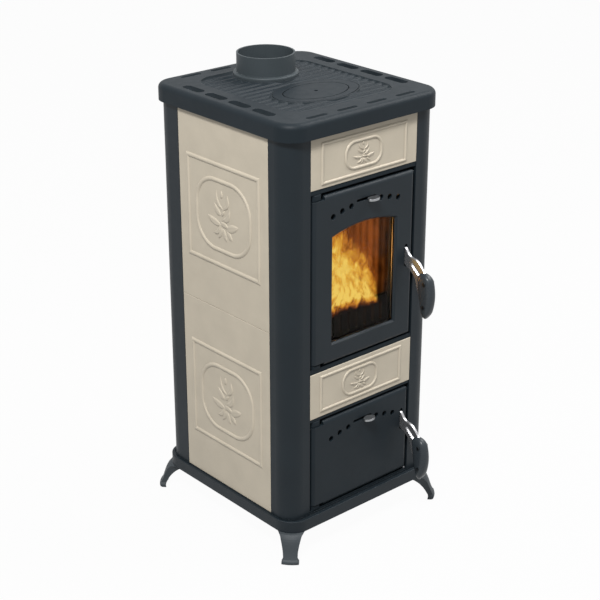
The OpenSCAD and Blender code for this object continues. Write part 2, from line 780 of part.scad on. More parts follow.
// Window: side and sill bevels are plane, the arch bevel is conical
window_z0 = fire_door_z0 + window_low;
window_z1 = fire_door_z1 - window_drop;
arch_r = (window_w * window_w / 4 + arch_rise * arch_rise) / (2 * arch_rise);
pane_back_y = face_back_y - glass_seat;
glass_fit = 0.5;
module window_cut() translate([window_x, 0, 0]) intersection() {
    translate([0, 0, window_z0 - 1]) linear_extrude(window_z1 - window_z0 + 2) polygon([
        [-window_w / 2, door_y - 1], [window_w / 2, door_y - 1], [window_w / 2, door_y],
        [window_w / 2 - bevel_w, pane_back_y - 1], [window_w / 2 - bevel_w, face_back_y + 1],
        [-window_w / 2 + bevel_w, face_back_y + 1], [-window_w / 2 + bevel_w, pane_back_y - 1],
        [-window_w / 2, door_y]]);
    rotate([90, 0, 90]) translate([0, 0, -window_w / 2 - 1]) linear_extrude(window_w + 2) polygon([
        [door_y - 1, window_z0], [door_y, window_z0], [pane_back_y - 1, window_z0 + bevel_w],
        [face_back_y + 1, window_z0 + bevel_w], [face_back_y + 1, window_z1 + 2],
        [door_y - 1, window_z1 + 2]]);
    translate([0, door_y - 1, window_z1 - arch_r]) rotate([-90, 0, 0]) union() {
        cylinder(r = arch_r, h = 1 + eps, $fn = 360);
        translate([0, 0, 1])
            cylinder(r1 = arch_r, r2 = arch_r - bevel_w, h = face_t - glass_seat - 1, $fn = 360);
        translate([0, 0, face_t - glass_seat - eps])
            cylinder(r = arch_r - bevel_w, h = glass_seat + 2, $fn = 360);
    }
}

glass_x0 = window_x - window_w / 2 + bevel_w - glass_lap;
glass_x1 = window_x + window_w / 2 - bevel_w + glass_lap;
glass_z0 = window_z0 + bevel_w - glass_lap;
glass_z1 = window_z1 - bevel_w + glass_lap;
gasket_t = 1.2;
glass_y = pane_back_y + gasket_t;
frame_y = glass_y + glass_t;

// Screws of the glass frame: one near each corner and one at the middle of each side
screw_out = 4.6;
module at_glass_screws()
    for (x = [glass_x0 - screw_out, glass_x1 + screw_out])
        for (z = [glass_z0 + 20, (glass_z0 + glass_z1) / 2, glass_z1 - 20])
            translate([x, 0, z]) children();

module fire_door() color(iron) place() difference() {
    union() {
        door_casting(fire_door_z0, fire_door_z1, fire_handle_z);
        at_glass_screws() translate([0, face_back_y - eps, 0]) rotate([-90, 0, 0])
            cylinder(r = screw_out - 1, h = frame_y - face_back_y + eps);
    }
    window_cut();
    block([glass_x0 - glass_fit, glass_x1 + glass_fit], [pane_back_y, face_back_y + 1],
        [glass_z0 - glass_fit, glass_z1 + glass_fit]);
    at_glass_screws() translate([0, face_back_y - 5, 0]) rotate([-90, 0, 0]) cylinder(r = 2.1, h = 20);
}

module ash_door() color(iron) place() door_casting(ash_door_z0, ash_door_z1, ash_handle_z);

module pane(y0, t, x_in, z_in)
    block([glass_x0 + x_in, glass_x1 - x_in], [y0, y0 + t], [glass_z0 + z_in, glass_z1 - z_in]);

module door_glass() color([0.25, 0.2, 0.15, 0.4]) place() pane(glass_y, glass_t, 0, 0);

module glass_gasket() color(rope) place() difference() {
    pane(pane_back_y, gasket_t, 0, 0);
    pane(pane_back_y - 1, gasket_t + 2, glass_lap - 2, glass_lap - 2);
}

frame_t = 1.5;
module glass_frame() color(steel) place() difference() {
    block([glass_x0 - 2 * screw_out + 1, glass_x1 + 2 * screw_out - 1], [frame_y, frame_y + frame_t],
        [glass_z0 - 2, glass_z1 + 2]);
    pane(frame_y - 1, frame_t + 2, glass_lap - 1.5, glass_lap - 1.5);
    at_glass_screws() translate([0, frame_y - 1, 0]) rotate([-90, 0, 0]) cylinder(r = 2.2, h = 4);
}

module screw(head_r, head_h, r, length) rotate([-90, 0, 0]) {
    translate([0, 0, -length]) cylinder(r = r, h = length + head_h / 2, $fn = 24);
    cylinder(r = head_r, h = head_h, $fn = 24);
}

module glass_screws() color(steel) place()
    at_glass_screws() translate([0, frame_y + frame_t, 0]) screw(3.5, 2, 2, 8);

module fire_door_seal() color(rope) place() seal_rope(fire_door_z0, fire_door_z1, seal_r);
module ash_door_seal() color(rope) place() seal_rope(ash_door_z0, ash_door_z1, seal_r);

// Air slide: a plate with the same holes, that shuts them when it is moved by half a pitch

slide_y = face_back_y + 0.3;
slide_half = air_first + 2 * air_pitch + air_d / 2 + 1.5;
slide_neck_h = 3;
module slide_plate(z1) {
    slot_z = z1 - air_drop;
    along_y(slide_y, slide_t) difference() {
        translate([air_x - slide_half, slot_z - 26]) square([2 * slide_half, 33]);
        air_pattern(slot_z, air_d);
        for (s = [-1, 1])
            translate([air_x + s * slide_screw_x + slide_travel / 2, slot_z + slide_screw_z])
                stadium(slide_travel + 6, 5);
    }
    // neck that carries the tab through the slot
    block([air_x + tab_rest - 5, air_x + tab_rest + 5], [door_y - 3, slide_y + eps],
        [slot_z - slide_neck_h / 2, slot_z + slide_neck_h / 2]);
}

module slide_tab(z1) difference() {
    translate([air_x + tab_rest, door_y - 10, z1 - air_drop - 2.2]) linear_extrude(4.4) oval(28, 18);
    block([air_x + tab_rest - 5.1, air_x + tab_rest + 5.1], [door_y - 3.1, door_y + 4],
        [z1 - air_drop - slide_neck_h / 2 - 0.1, z1 - air_drop + slide_neck_h / 2 + 0.1]);
}

module slide_screw_pair(z1)
    for (s = [-1, 1])
        translate([air_x + s * slide_screw_x, slide_y + slide_t + 0.3, z1 - air_drop + slide_screw_z])
            screw(5, 2, 2, 5.5);

module fire_air_slide() color(steel) place() slide_plate(fire_door_z1);
module fire_air_tab() color(chrome) place() slide_tab(fire_door_z1);
module fire_slide_screws() color(steel) place() slide_screw_pair(fire_door_z1);
module ash_air_slide() color(steel) place() slide_plate(ash_door_z1);
module ash_air_tab() color(chrome) place() slide_tab(ash_door_z1);
module ash_slide_screws() color(steel) place() slide_screw_pair(ash_door_z1);

// Handles. Outlines are drawn as (y, z) from the door face and the slot centre.

// The lever leaves the slot, dips outwards and runs down inside the grip; its nose lies
// behind the door under the keeper bar.
nose_y = casting_face_y - door_y;
module lever_outline() {
    top = concat(
        curve([[2, 18], [-6, 16], [-8, 1], [-22, 0.5]], 6),
        curve([[-22, 0.5], [-36, 0], [-44, -10], [-52, -19]], 6),
        curve([[-52, -19], [-60, -25], [-70, -34], [-72, -52]], 5));
    low = concat([[-72, -94], [-69, -99]],
        curve([[-64, -100], [-48, -86], [-33, -66], [-31, -46]], 5),
        curve([[-31, -46], [-28, -34], [-14, -26], [2, -18]], 6));
    polygon(concat(top, low));
}

module lever_slot() {
    arm = [[-22, -14], [-44, -32]];
    slope = atan2(arm[1][1] - arm[0][1], arm[1][0] - arm[0][0]);
    translate((arm[0] + arm[1]) / 2) rotate(slope) stadium(norm(arm[1] - arm[0]) + 9, 7);
}

module nose_outline() {
    translate([0, -18]) square([pivot_y - door_y, 36]);
    translate([pivot_y - door_y, 0]) circle(11);
    translate([pivot_y - door_y, -6])
        square([nose_y + 4 - pivot_y + door_y, keeper_z - keeper_r - seat_gap + 6]);
}

module handle_lever(z) difference() {
    along_x(handle_x - lever_t / 2, lever_t) translate([door_y, z]) difference() {
        union() {
            lever_outline();
            nose_outline();
        }
        lever_slot();
    }
    translate([handle_x - lever_t, pivot_y, z]) rotate([0, 90, 0])
        cylinder(r = pivot_r + pin_fit, h = 2 * lever_t);
    for (s = grip_screw_z) translate([handle_x - lever_t, door_y - grip_screw_y, z - s])
        rotate([0, 90, 0]) cylinder(r = 2.2, h = 2 * lever_t);
}

// The grip is lofted through level sections between a bulging front and a slimmer back
grip_top = 22;
grip_bulge_r = 105;
function grip_front(s) =
    grip_reach - grip_bulge_r + sqrt(pow(grip_bulge_r, 2) - pow(s - grip_top - grip_l * 0.46, 2));
function grip_back(s) = 38 + 18 * pow((s - grip_top) / grip_l, 1.5);
function grip_mid(s) = (grip_front(s) + grip_back(s)) / 2;
grip_screw_z = [41, 91];
grip_screw_y = 64;

// Half-depth and half-width shrink to a round end at top and bottom
function grip_end(u) = u < 0.16 ? sqrt(max(0.02, 1 - pow((0.16 - u) / 0.16, 2)))
    : u > 0.82 ? sqrt(max(0.02, 1 - pow((u - 0.82) / 0.18, 2))) : 1;
function squircle(a, n) = let (c = cos(a), s = sin(a))
    [sign(c) * pow(abs(c), n), sign(s) * pow(abs(s), n)];

grip_steps = 18;
grip_sides = 20;
module grip_solid() {
    points = [for (i = [0 : grip_steps]) let (u = i / grip_steps, s = grip_top + grip_l * u,
        half_y = (grip_front(s) - grip_back(s)) / 2 * grip_end(u),
        half_x = grip_w / 2 * (0.86 + 0.14 * sin(180 * u)) * (0.55 + 0.45 * grip_end(u)))
        for (j = [0 : grip_sides - 1]) let (q = squircle(360 * j / grip_sides, 0.62))
            [q[0] * half_x, -grip_mid(s) + q[1] * half_y, -s]];
    faces = concat([[for (j = [0 : grip_sides - 1]) j]],
        [[for (j = [grip_sides - 1 : -1 : 0]) grip_steps * grip_sides + j]],
        [for (i = [0 : grip_steps - 1]) for (j = [0 : grip_sides - 1]) for (k = [0, 1])
            let (a = i * grip_sides + j, b = i * grip_sides + (j + 1) % grip_sides)
                k == 0 ? [a, a + grip_sides, b] : [b, a + grip_sides, b + grip_sides]]);
    polyhedron(points, faces);
}

module handle_grip(z) difference() {
    translate([handle_x, door_y, z]) grip_solid();
    // seat for the lever, open towards the stove
    along_x(handle_x - lever_t / 2 - 0.1, lever_t + 0.2) translate([door_y, z]) {
        lever_outline();
        translate([-66, -99]) square([38, 69]);
    }
    for (s = grip_screw_z) translate([handle_x - grip_w, door_y - grip_screw_y, z - s]) rotate([0, 90, 0])
        cylinder(r = 2.2, h = 2 * grip_w);
}

module grip_screws(z) for (s = grip_screw_z)
    translate([handle_x, door_y - grip_screw_y, z - s]) rotate([0, 90, 0]) {
        cylinder(r = 2, h = grip_w + 1, center = true, $fn = 24);
        for (e = [-1, 1]) translate([0, 0, e * (grip_w / 2 + 0.9)])
            cylinder(r = 3.6, h = 1.6, center = true, $fn = 24);
    }

module handle_pivot(z) translate([handle_x - lever_t / 2 - ear_gap - ear_t, pivot_y, z]) rotate([0, 90, 0])
    cylinder(r = pivot_r, h = door_x1 - 1.5 - handle_x + lever_t / 2 + ear_gap + ear_t);

module fire_handle_lever() color(chrome) place() handle_lever(fire_handle_z);
module fire_handle_grip() color(grip_colour) place() handle_grip(fire_handle_z);
module fire_handle_screws() color(steel) place() grip_screws(fire_handle_z);
module fire_handle_pivot() color(steel) place() handle_pivot(fire_handle_z);
module ash_handle_lever() color(chrome) place() handle_lever(ash_handle_z);
module ash_handle_grip() color(grip_colour) place() handle_grip(ash_handle_z);
module ash_handle_screws() color(steel) place() grip_screws(ash_handle_z);
module ash_handle_pivot() color(steel) place() handle_pivot(ash_handle_z);

// Back of the casing

module back_panel() color(iron_light) place() {
    y = body_d / 2 - panel_in - panel_t;
    along_y(y, panel_t) difference() {
        translate([-open_x + tile_gap, seat_z]) square([2 * (open_x - tile_gap), stack_z - seat_z]);
        for (row = [0 : 4]) for (i = [-3 : 3]) for (z = [seat_z + 60, stack_z - 60])
            translate([i * 34, z + (row - 2) * 14]) stadium(24, 5);
        for (s = [-1, 1]) for (i = [0 : 3])
            translate([s * (open_x - 6), back_screw_z(i)]) circle(2.2, $fn = 24);
    }
}
function back_screw_z(i) = seat_z + 30 + i * (stack_z - seat_z - 60) / 3;

module back_screws() color(steel) place()
    for (s = [-1, 1]) for (i = [0 : 3])
        translate([s * (open_x - 6), body_d / 2 - panel_in, back_screw_z(i)]) screw(4, 2, 2, 1.5);

// Firebox

box_floor_z = fire_door_z0 + hole_low - hearth_up;
hearth_t = 10;
hearth_z = box_floor_z + hearth_t;
box_y0 = casting_back_y;
drawer_z = ash_door_z0 + hole_low + 1;
module firebox_shell() color(steel) place() {
    difference() {
        block([-box_w / 2, box_w / 2], [box_y0, box_back_y], [seat_z, under_plate_z - seal_r]);
        block([-box_w / 2 + box_t, box_w / 2 - box_t], [box_y0 - 1, box_back_y - box_t],
            [seat_z - 1, top_h]);
    }
    // ledge that carries the hearth
    difference() {
        block([-box_w / 2 + 1, box_w / 2 - 1], [box_y0, box_back_y - 1], [box_floor_z - 5, box_floor_z]);
        block([-box_w / 2 + box_t + 14, box_w / 2 - box_t - 14], [box_y0 + 14, box_back_y - box_t - 14],
            [box_floor_z - 6, box_floor_z + 1]);
    }
    // floor that the ash drawer slides on
    block([-box_w / 2 + 1, box_w / 2 - 1], [box_y0, box_back_y - 1],
        [drawer_z - seat_gap - box_t, drawer_z - seat_gap]);
}

in_x = box_w / 2 - box_t - seat_gap;
in_y0 = box_y0 + seat_gap;
in_y1 = box_back_y - box_t - seat_gap;
grate_w = 170;
grate_d = 180;
grate_y = (in_y0 + in_y1) / 2;
flute_rest = 20;
baffle_y0 = -35;
baffle_t = 16;
module hearth_plate() color(iron) place() difference() {
    block([-in_x, in_x], [in_y0, in_y1], [box_floor_z, hearth_z]);
    translate([0, grate_y, box_floor_z - 1]) linear_extrude(hearth_t + 2)
        square([grate_w - 12, grate_d - 12], center = true);
    translate([0, grate_y, box_floor_z + hearth_t / 2]) linear_extrude(hearth_t)
        square([grate_w, grate_d], center = true);
}

module grate() color(iron_light) place() translate([0, grate_y, box_floor_z + hearth_t / 2])
    linear_extrude(hearth_t / 2) difference() {
        square([grate_w - 1, grate_d - 1], center = true);
        for (i = [-5 : 5]) for (s = [-1, 1])
            translate([i * 14, s * grate_d / 4.4]) rotate(90) stadium(72, 7);
    }

module side_brick(s) color(brick) place()
    block(s > 0 ? [in_x - brick_t, in_x] : [-in_x, -in_x + brick_t],
        [in_y0 + 6, in_y1 - brick_t - seat_gap], [hearth_z, hearth_z + brick_h]);
module brick_left() side_brick(-1);
module brick_right() side_brick(1);
module brick_back() color(brick) place() difference() {
    block([-in_x, in_x], [in_y1 - brick_t, in_y1], [hearth_z, hearth_z + brick_h]);
    // shallow upright flutes on the fire side
    for (i = [-5 : 5]) translate([i * 20, in_y1 - brick_t - 2, hearth_z + flute_rest])
        cylinder(r = 5, h = brick_h - 2 * flute_rest, $fn = 32);
}

module smoke_baffle() color(brick) place() block([-in_x + 1, in_x - 1], [baffle_y0, in_y1 - 1],
    [hearth_z + brick_h, hearth_z + brick_h + baffle_t]);

module log_guard() color(iron) place() {
    half = in_x - brick_t - 4;
    along_y(in_y0 + 8, 8) difference() {
        translate([-half, hearth_z]) square([2 * half, guard_h]);
        for (i = [-4 : 4]) translate([i * 22, hearth_z + guard_h / 2]) rotate(90) stadium(guard_h - 24, 8);
    }
    block([-half, half], [in_y0 + 8, in_y0 + 24], [hearth_z, hearth_z + 6]);
}

drawer_w = fire_hole_x1 - fire_hole_x0 - 8;
drawer_x = (fire_hole_x0 + fire_hole_x1) / 2;
drawer_t = 1.5;
module ash_drawer() color(steel) place() {
    x = [drawer_x - drawer_w / 2, drawer_x + drawer_w / 2];
    y = [casting_back_y + 3, in_y1 - 10];
    z = [drawer_z, drawer_z + drawer_h];
    difference() {
        block(x, y, z);
        block([x[0] + drawer_t, x[1] - drawer_t], [y[0] + drawer_t, y[1] - drawer_t],
            [z[0] + drawer_t, z[1] + 1]);
    }
    // bent strap handle
    translate([drawer_x, y[0], z[1] - 28]) along_y(-9, 9 + eps) difference() {
        square([70, 14], center = true);
        square([62, 6], center = true);
    }
}

// Top of the casing

// Outline of the firebox, grown by a distance
module box_outline(grow) translate([-box_w / 2 - grow, box_y0 - grow])
    square([box_w + 2 * grow, box_back_y - box_y0 + 2 * grow]);

top_frame_open = 250;
module top_frame() color(iron) place() difference() {
    along_z(stack_z, top_frame_h) rounded_rect(body_w - 1, body_d - 1, post_r - 0.5);
    along_z(stack_z - 1, top_frame_h + 2) {
        square([body_w - 2 * (tile_t + post_t + 1), top_frame_open], center = true);
        square([top_frame_open, body_d - 2 * (tile_t + 1)], center = true);
        box_outline(1);
    }
    at_corners() along_z_hole();
    at_corners() translate([0, 0, under_plate_z - nut_h - 2]) cylinder(r = nut_r + 1, h = nut_h + 3);
}

module tie_rods() color(steel) place() at_corners() {
    translate([0, 0, foot_h - nut_h - 2]) cylinder(r = rod_r, h = under_plate_z - 1 - foot_h + nut_h + 2);
    for (z = [foot_h - nut_h, under_plate_z - nut_h - 2])
        translate([0, 0, z]) cylinder(r = nut_r, h = nut_h, $fn = 6);
}

module cooktop_section() {
    difference() {
        union() {
            translate([0, top_h - skirt_h]) square([corner_r - edge_r, skirt_h]);
            translate([0, top_h - skirt_h]) square([corner_r, skirt_h - edge_r]);
            translate([corner_r - edge_r, top_h - edge_r]) circle(edge_r);
        }
        translate([-1, top_h - skirt_h - 1]) square([corner_r - skirt_t + 1, skirt_h - plate_t + 1]);
    }
}

// Ribs with round crowns, cut from the field that they stand in
module ribs() {
    crown_r = (rib_w * rib_w / 4 + rib_h * rib_h) / (2 * rib_h);
    count = floor(recess_d / 2 / rib_pitch);
    for (i = [-count : count]) along_x(-recess_w / 2, recess_w)
        translate([recess_y + i * rib_pitch, top_h - recess_depth]) intersection() {
            translate([0, rib_h - crown_r]) circle(crown_r);
            translate([-rib_w / 2, -1]) square([rib_w, rib_h + 2]);
        }
}

recess_y = 1.5;
field_t = 7;
hob_t = 6;
hob_floor_z = top_h - recess_depth - field_t;
ring_top_z = top_h - recess_depth + rib_h;
module recess_outline(grow) translate([0, recess_y])
    rounded_rect(recess_w + 2 * grow, recess_d + 2 * grow, recess_r + grow);

vent_x = body_w / 2 - post_r / 2 - 5;
module vents() {
    for (s = [-1, 1]) for (i = [0 : 3]) {
        translate([s * vent_x, (i - 1.5) * vent_pitch]) rotate(90) stadium(vent_l, vent_w);
        translate([(i - 1.5) * end_vent_pitch, s * (plan_d / 2 - edge_r - end_vent_w - 1)])
            stadium(end_vent_l, end_vent_w);
    }
}

module cooktop() color(iron) place() difference() {
    union() {
        difference() {
            union() {
                swept_rim(plan_w, plan_d, corner_r) cooktop_section();
                block([-plan_w / 2 + corner_r, plan_w / 2 - corner_r],
                    [-plan_d / 2 + corner_r, plan_d / 2 - corner_r], [under_plate_z, top_h]);
                along_z(hob_floor_z, plate_t) intersection() {
                    recess_outline(0);
                    box_outline(-box_t - 1);
                }
            }
            along_z(top_h - recess_depth, recess_depth + 1) recess_outline(0);
        }
        intersection() {
            ribs();
            along_z(top_h - recess_depth - 1, rib_h + 2) difference() {
                recess_outline(eps);
                translate([hob_x, hob_y]) oval(ring_l + 9, ring_w + 9);
            }
        }
        // flat boss under the flue collar and flat rim round the hob ring
        along_z(top_h - recess_depth - 1, recess_depth + 1) translate([flue_x, flue_y])
            circle(flue_od / 2 + bead_w + 1);
        along_z(top_h - recess_depth - 1, rib_h + 1) translate([hob_x, hob_y])
            oval(ring_l + 10, ring_w + 10);
    }
    along_z(hob_floor_z - 1, plate_t + recess_depth) vents();
    translate([flue_x, flue_y, hob_floor_z - 1])
        cylinder(r = flue_od / 2 - flue_t, h = plate_t + recess_depth + 2);
    // seat and opening for the hob ring
    along_z(ring_top_z - hob_t, hob_t + 5) translate([hob_x, hob_y])
        oval(ring_l + 2 * hob_gap, ring_w + 2 * hob_gap);
    along_z(hob_floor_z - 1, plate_t + recess_depth) translate([hob_x, hob_y])
        oval(ring_l - 2 * hob_ledge, ring_w - 2 * hob_ledge);
}

module hob_ring() color(iron) place() translate([hob_x, hob_y, 0]) difference() {
    union() {
        along_z(ring_top_z - hob_t + seat_gap, hob_t - seat_gap) oval(ring_l, ring_w);
        along_z(ring_top_z - 2 * hob_t + seat_gap + 1, hob_t)
            oval(ring_l - 2 * hob_ledge - 2, ring_w - 2 * hob_ledge - 2);
    }
    along_z(ring_top_z - hob_t / 2 - 1, hob_t) oval(lid_l + 2 * hob_gap, lid_w + 2 * hob_gap);
    along_z(ring_top_z - 3 * hob_t, 4 * hob_t) oval(lid_l - 2 * hob_ledge, lid_w - 2 * hob_ledge);
}

module hob_lid() color(iron) place() translate([hob_x, hob_y, 0]) difference() {
    union() {
        along_z(ring_top_z - hob_t / 2 - 1 + seat_gap, hob_t / 2 + 1 - seat_gap) oval(lid_l, lid_w);
        along_z(ring_top_z - hob_t - 2, hob_t)
            oval(lid_l - 2 * hob_ledge - 2, lid_w - 2 * hob_ledge - 2);
    }
    // socket for the lifting tool
    translate([0, 0, ring_top_z - 3.5]) cylinder(r = 4, h = 5);
}

module flue_collar() color(iron) place() translate([flue_x, flue_y, top_h]) rotate_extrude() difference() {
    union() {
        translate([flue_od / 2 - flue_t, 0]) square([flue_t, flue_h]);
        translate([flue_od / 2 - flue_t, 0]) square([flue_t + bead_w / 2, bead_w]);
        translate([flue_od / 2 + bead_w / 2, bead_w / 2]) circle(bead_w / 2);
        translate([flue_od / 2, 0]) square([bead_w, bead_w / 2]);
    }
}

module cooktop_seal() color(rope) place() difference() {
    block([-box_w / 2, box_w / 2], [box_y0, box_back_y], [under_plate_z - seal_r, under_plate_z]);
    block([-box_w / 2 + box_t, box_w / 2 - box_t], [box_y0 + box_t, box_back_y - box_t],
        [under_plate_z - seal_r - 1, under_plate_z + 1]);
}

base_frame();
foot_front_left();
foot_front_right();
foot_back_left();
foot_back_right();
post_front_left();
post_front_right();
post_back_left();
post_back_right();
tile_left_lower();
tile_left_upper();
tile_right_lower();
tile_right_upper();
tile_front_head();
tile_front_middle();
front_casting();
hinge_pins();
latch_keepers();
ash_door_rest();
back_panel();
back_screws();
firebox_shell();
hearth_plate();
grate();
brick_left();
brick_right();
brick_back();
smoke_baffle();
log_guard();
ash_drawer();
top_frame();
tie_rods();
cooktop();
flue_collar();
cooktop_seal();
fire_door();
door_glass();
glass_gasket();
glass_frame();
glass_screws();
fire_door_seal();
fire_slide_screws();
fire_handle_pivot();
fire_air_slide();
fire_air_tab();
fire_handle_lever();
fire_handle_grip();
fire_handle_screws();
ash_door();
ash_door_seal();
ash_slide_screws();
ash_handle_pivot();
ash_air_slide();
ash_air_tab();
ash_handle_lever();
ash_handle_grip();
ash_handle_screws();
hob_ring();
hob_lid();
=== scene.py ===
"""Looks of the tiled wood stove: finishes, tile relief, levers, grips and the fire."""

import math
import random

import bmesh
import bpy
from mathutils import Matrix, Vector, noise


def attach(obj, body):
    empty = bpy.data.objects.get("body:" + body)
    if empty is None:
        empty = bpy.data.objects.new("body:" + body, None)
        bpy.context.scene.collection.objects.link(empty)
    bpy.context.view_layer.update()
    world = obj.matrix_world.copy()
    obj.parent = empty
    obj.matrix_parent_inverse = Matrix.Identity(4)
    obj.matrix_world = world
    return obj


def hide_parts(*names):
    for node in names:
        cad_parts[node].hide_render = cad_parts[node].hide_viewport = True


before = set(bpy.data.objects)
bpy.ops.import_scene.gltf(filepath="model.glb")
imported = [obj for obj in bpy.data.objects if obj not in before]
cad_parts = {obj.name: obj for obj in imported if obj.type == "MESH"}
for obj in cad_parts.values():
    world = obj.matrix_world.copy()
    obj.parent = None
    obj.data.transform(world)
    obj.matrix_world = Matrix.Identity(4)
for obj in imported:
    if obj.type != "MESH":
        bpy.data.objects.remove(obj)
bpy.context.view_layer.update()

MM = 0.001
# The row frame's origin lies this far in front of the middle of the body
SHIFT_Y = 25.56


def point(x, y, z):
    """Point of the body's own frame, in millimetres, as a vector of the row frame."""
    return Vector((x, y + SHIFT_Y, z)) * MM


def add_object(name, data, at=(0, 0, 0)):
    """New object in the scene, placed in metres of the row frame."""
    made = bpy.data.objects.new(name, data)
    made.location = at
    bpy.context.scene.collection.objects.link(made)
    return made


def aim(thing, target):
    """Turns a camera or a lamp towards the target."""
    thing.rotation_euler = (Vector(target) - thing.location).to_track_quat("-Z", "Y").to_euler()


# Shader nodes

def maths(tree, operation, *values, clamp=False):
    """Output of a maths node; each value is a number or a socket."""
    node = tree.nodes.new("ShaderNodeMath")
    node.operation = operation
    node.use_clamp = clamp
    for socket, value in zip(node.inputs, values):
        if isinstance(value, (int, float)):
            socket.default_value = value
        else:
            tree.links.new(value, socket)
    return node.outputs[0]


def color_ramp(tree, source, stops):
    """Colour of the source by (place, colour) stops."""
    ramp = tree.nodes.new("ShaderNodeValToRGB")
    while len(ramp.color_ramp.elements) < len(stops):
        ramp.color_ramp.elements.new(0.5)
    for element, (place, color) in zip(ramp.color_ramp.elements, stops):
        element.position = place
        element.color = (*color, 1)
    tree.links.new(source, ramp.inputs["Fac"])
    return ramp.outputs["Color"]


def show_mix(tree, output, factor, first, second):
    """Sends the mix of two shader nodes to a new output node."""
    mix = tree.nodes.new("ShaderNodeMixShader")
    out = tree.nodes.new(output)
    tree.links.new(factor, mix.inputs[0])
    tree.links.new(first.outputs[0], mix.inputs[1])
    tree.links.new(second.outputs[0], mix.inputs[2])
    tree.links.new(mix.outputs[0], out.inputs["Surface"])


def empty_material(name):
    """New material and its node tree, with no nodes in it."""
    material = bpy.data.materials.new(name)
    material.use_nodes = True
    material.node_tree.nodes.clear()
    return material, material.node_tree


# Camera, floor and light

LENS = 89.98
SENSOR = 36
CAMERA_AT = point(-1893.0, -2168.9, 1713.1)
CAMERA_TARGET = point(5.98, -5.25, 457.2)
WORLD_LIGHT = 0.50
FLOOR_SIZE = 12
FLOOR_COLOR = (0.36, 0.36, 0.36)
# share of the floor that shows as white; the rest is its lit colour, which carries the shadow
FLOOR_WHITE = 0.965


def make_camera():
    data = bpy.data.cameras.new("camera")
    data.lens = LENS
    data.sensor_width = SENSOR
    camera = add_object("camera", data, CAMERA_AT)
    aim(camera, CAMERA_TARGET)
    bpy.context.scene.camera = camera


def shows_background(tree):
    """Socket that is 1 on camera, glossy and transmission rays."""
    path = tree.nodes.new("ShaderNodeLightPath")
    shows = path.outputs["Is Camera Ray"]
    for ray in ("Is Glossy Ray", "Is Transmission Ray"):
        shows = maths(tree, "MAXIMUM", shows, path.outputs[ray])
    return shows


def make_world():
    """Soft white light from all around, and a white background."""
    world = bpy.data.worlds.new("world")
    world.use_nodes = True
    bpy.context.scene.world = world
    tree = world.node_tree
    tree.nodes.clear()
    lights, shows = (tree.nodes.new("ShaderNodeBackground") for _ in range(2))
    lights.inputs["Strength"].default_value = WORLD_LIGHT
    for node in (lights, shows):
        node.inputs["Color"].default_value = (1, 1, 1, 1)
    show_mix(tree, "ShaderNodeOutputWorld", shows_background(tree), lights, shows)


def make_floor():
    """Grey floor that shows as white, with the object's shadow on it."""
    bpy.ops.mesh.primitive_plane_add(size=FLOOR_SIZE)
    floor = bpy.context.object
    floor.name = "floor"
    material, tree = empty_material("floor")
    diffuse = tree.nodes.new("ShaderNodeBsdfDiffuse")
    diffuse.inputs["Color"].default_value = (*FLOOR_COLOR, 1)
    glow = tree.nodes.new("ShaderNodeEmission")
    share = maths(tree, "MULTIPLY", shows_background(tree), FLOOR_WHITE)
    show_mix(tree, "ShaderNodeOutputMaterial", share, diffuse, glow)
    floor.data.materials.append(material)


def area_light(name, at, target, size, power):
    """Square white lamp; its places and its size are in metres."""
    data = bpy.data.lights.new(name, "AREA")
    data.size = size
    data.energy = power
    aim(add_object(name, data, at), target)


# Materials

NOISE_RANGE = (0.3, 0.7)
AO_SAMPLES, BEVEL_SAMPLES = 8, 4
BRUSHED = (1, 1, 0.05)
CAST_EDGE = 0.0014
# how near other faces must be for a hollow to get a painted glow, in metres, and the colour of that
# glow
HOLLOW_REACH = 0.03
HOLLOW_LIGHT = (0.8, 0.92, 1.0)


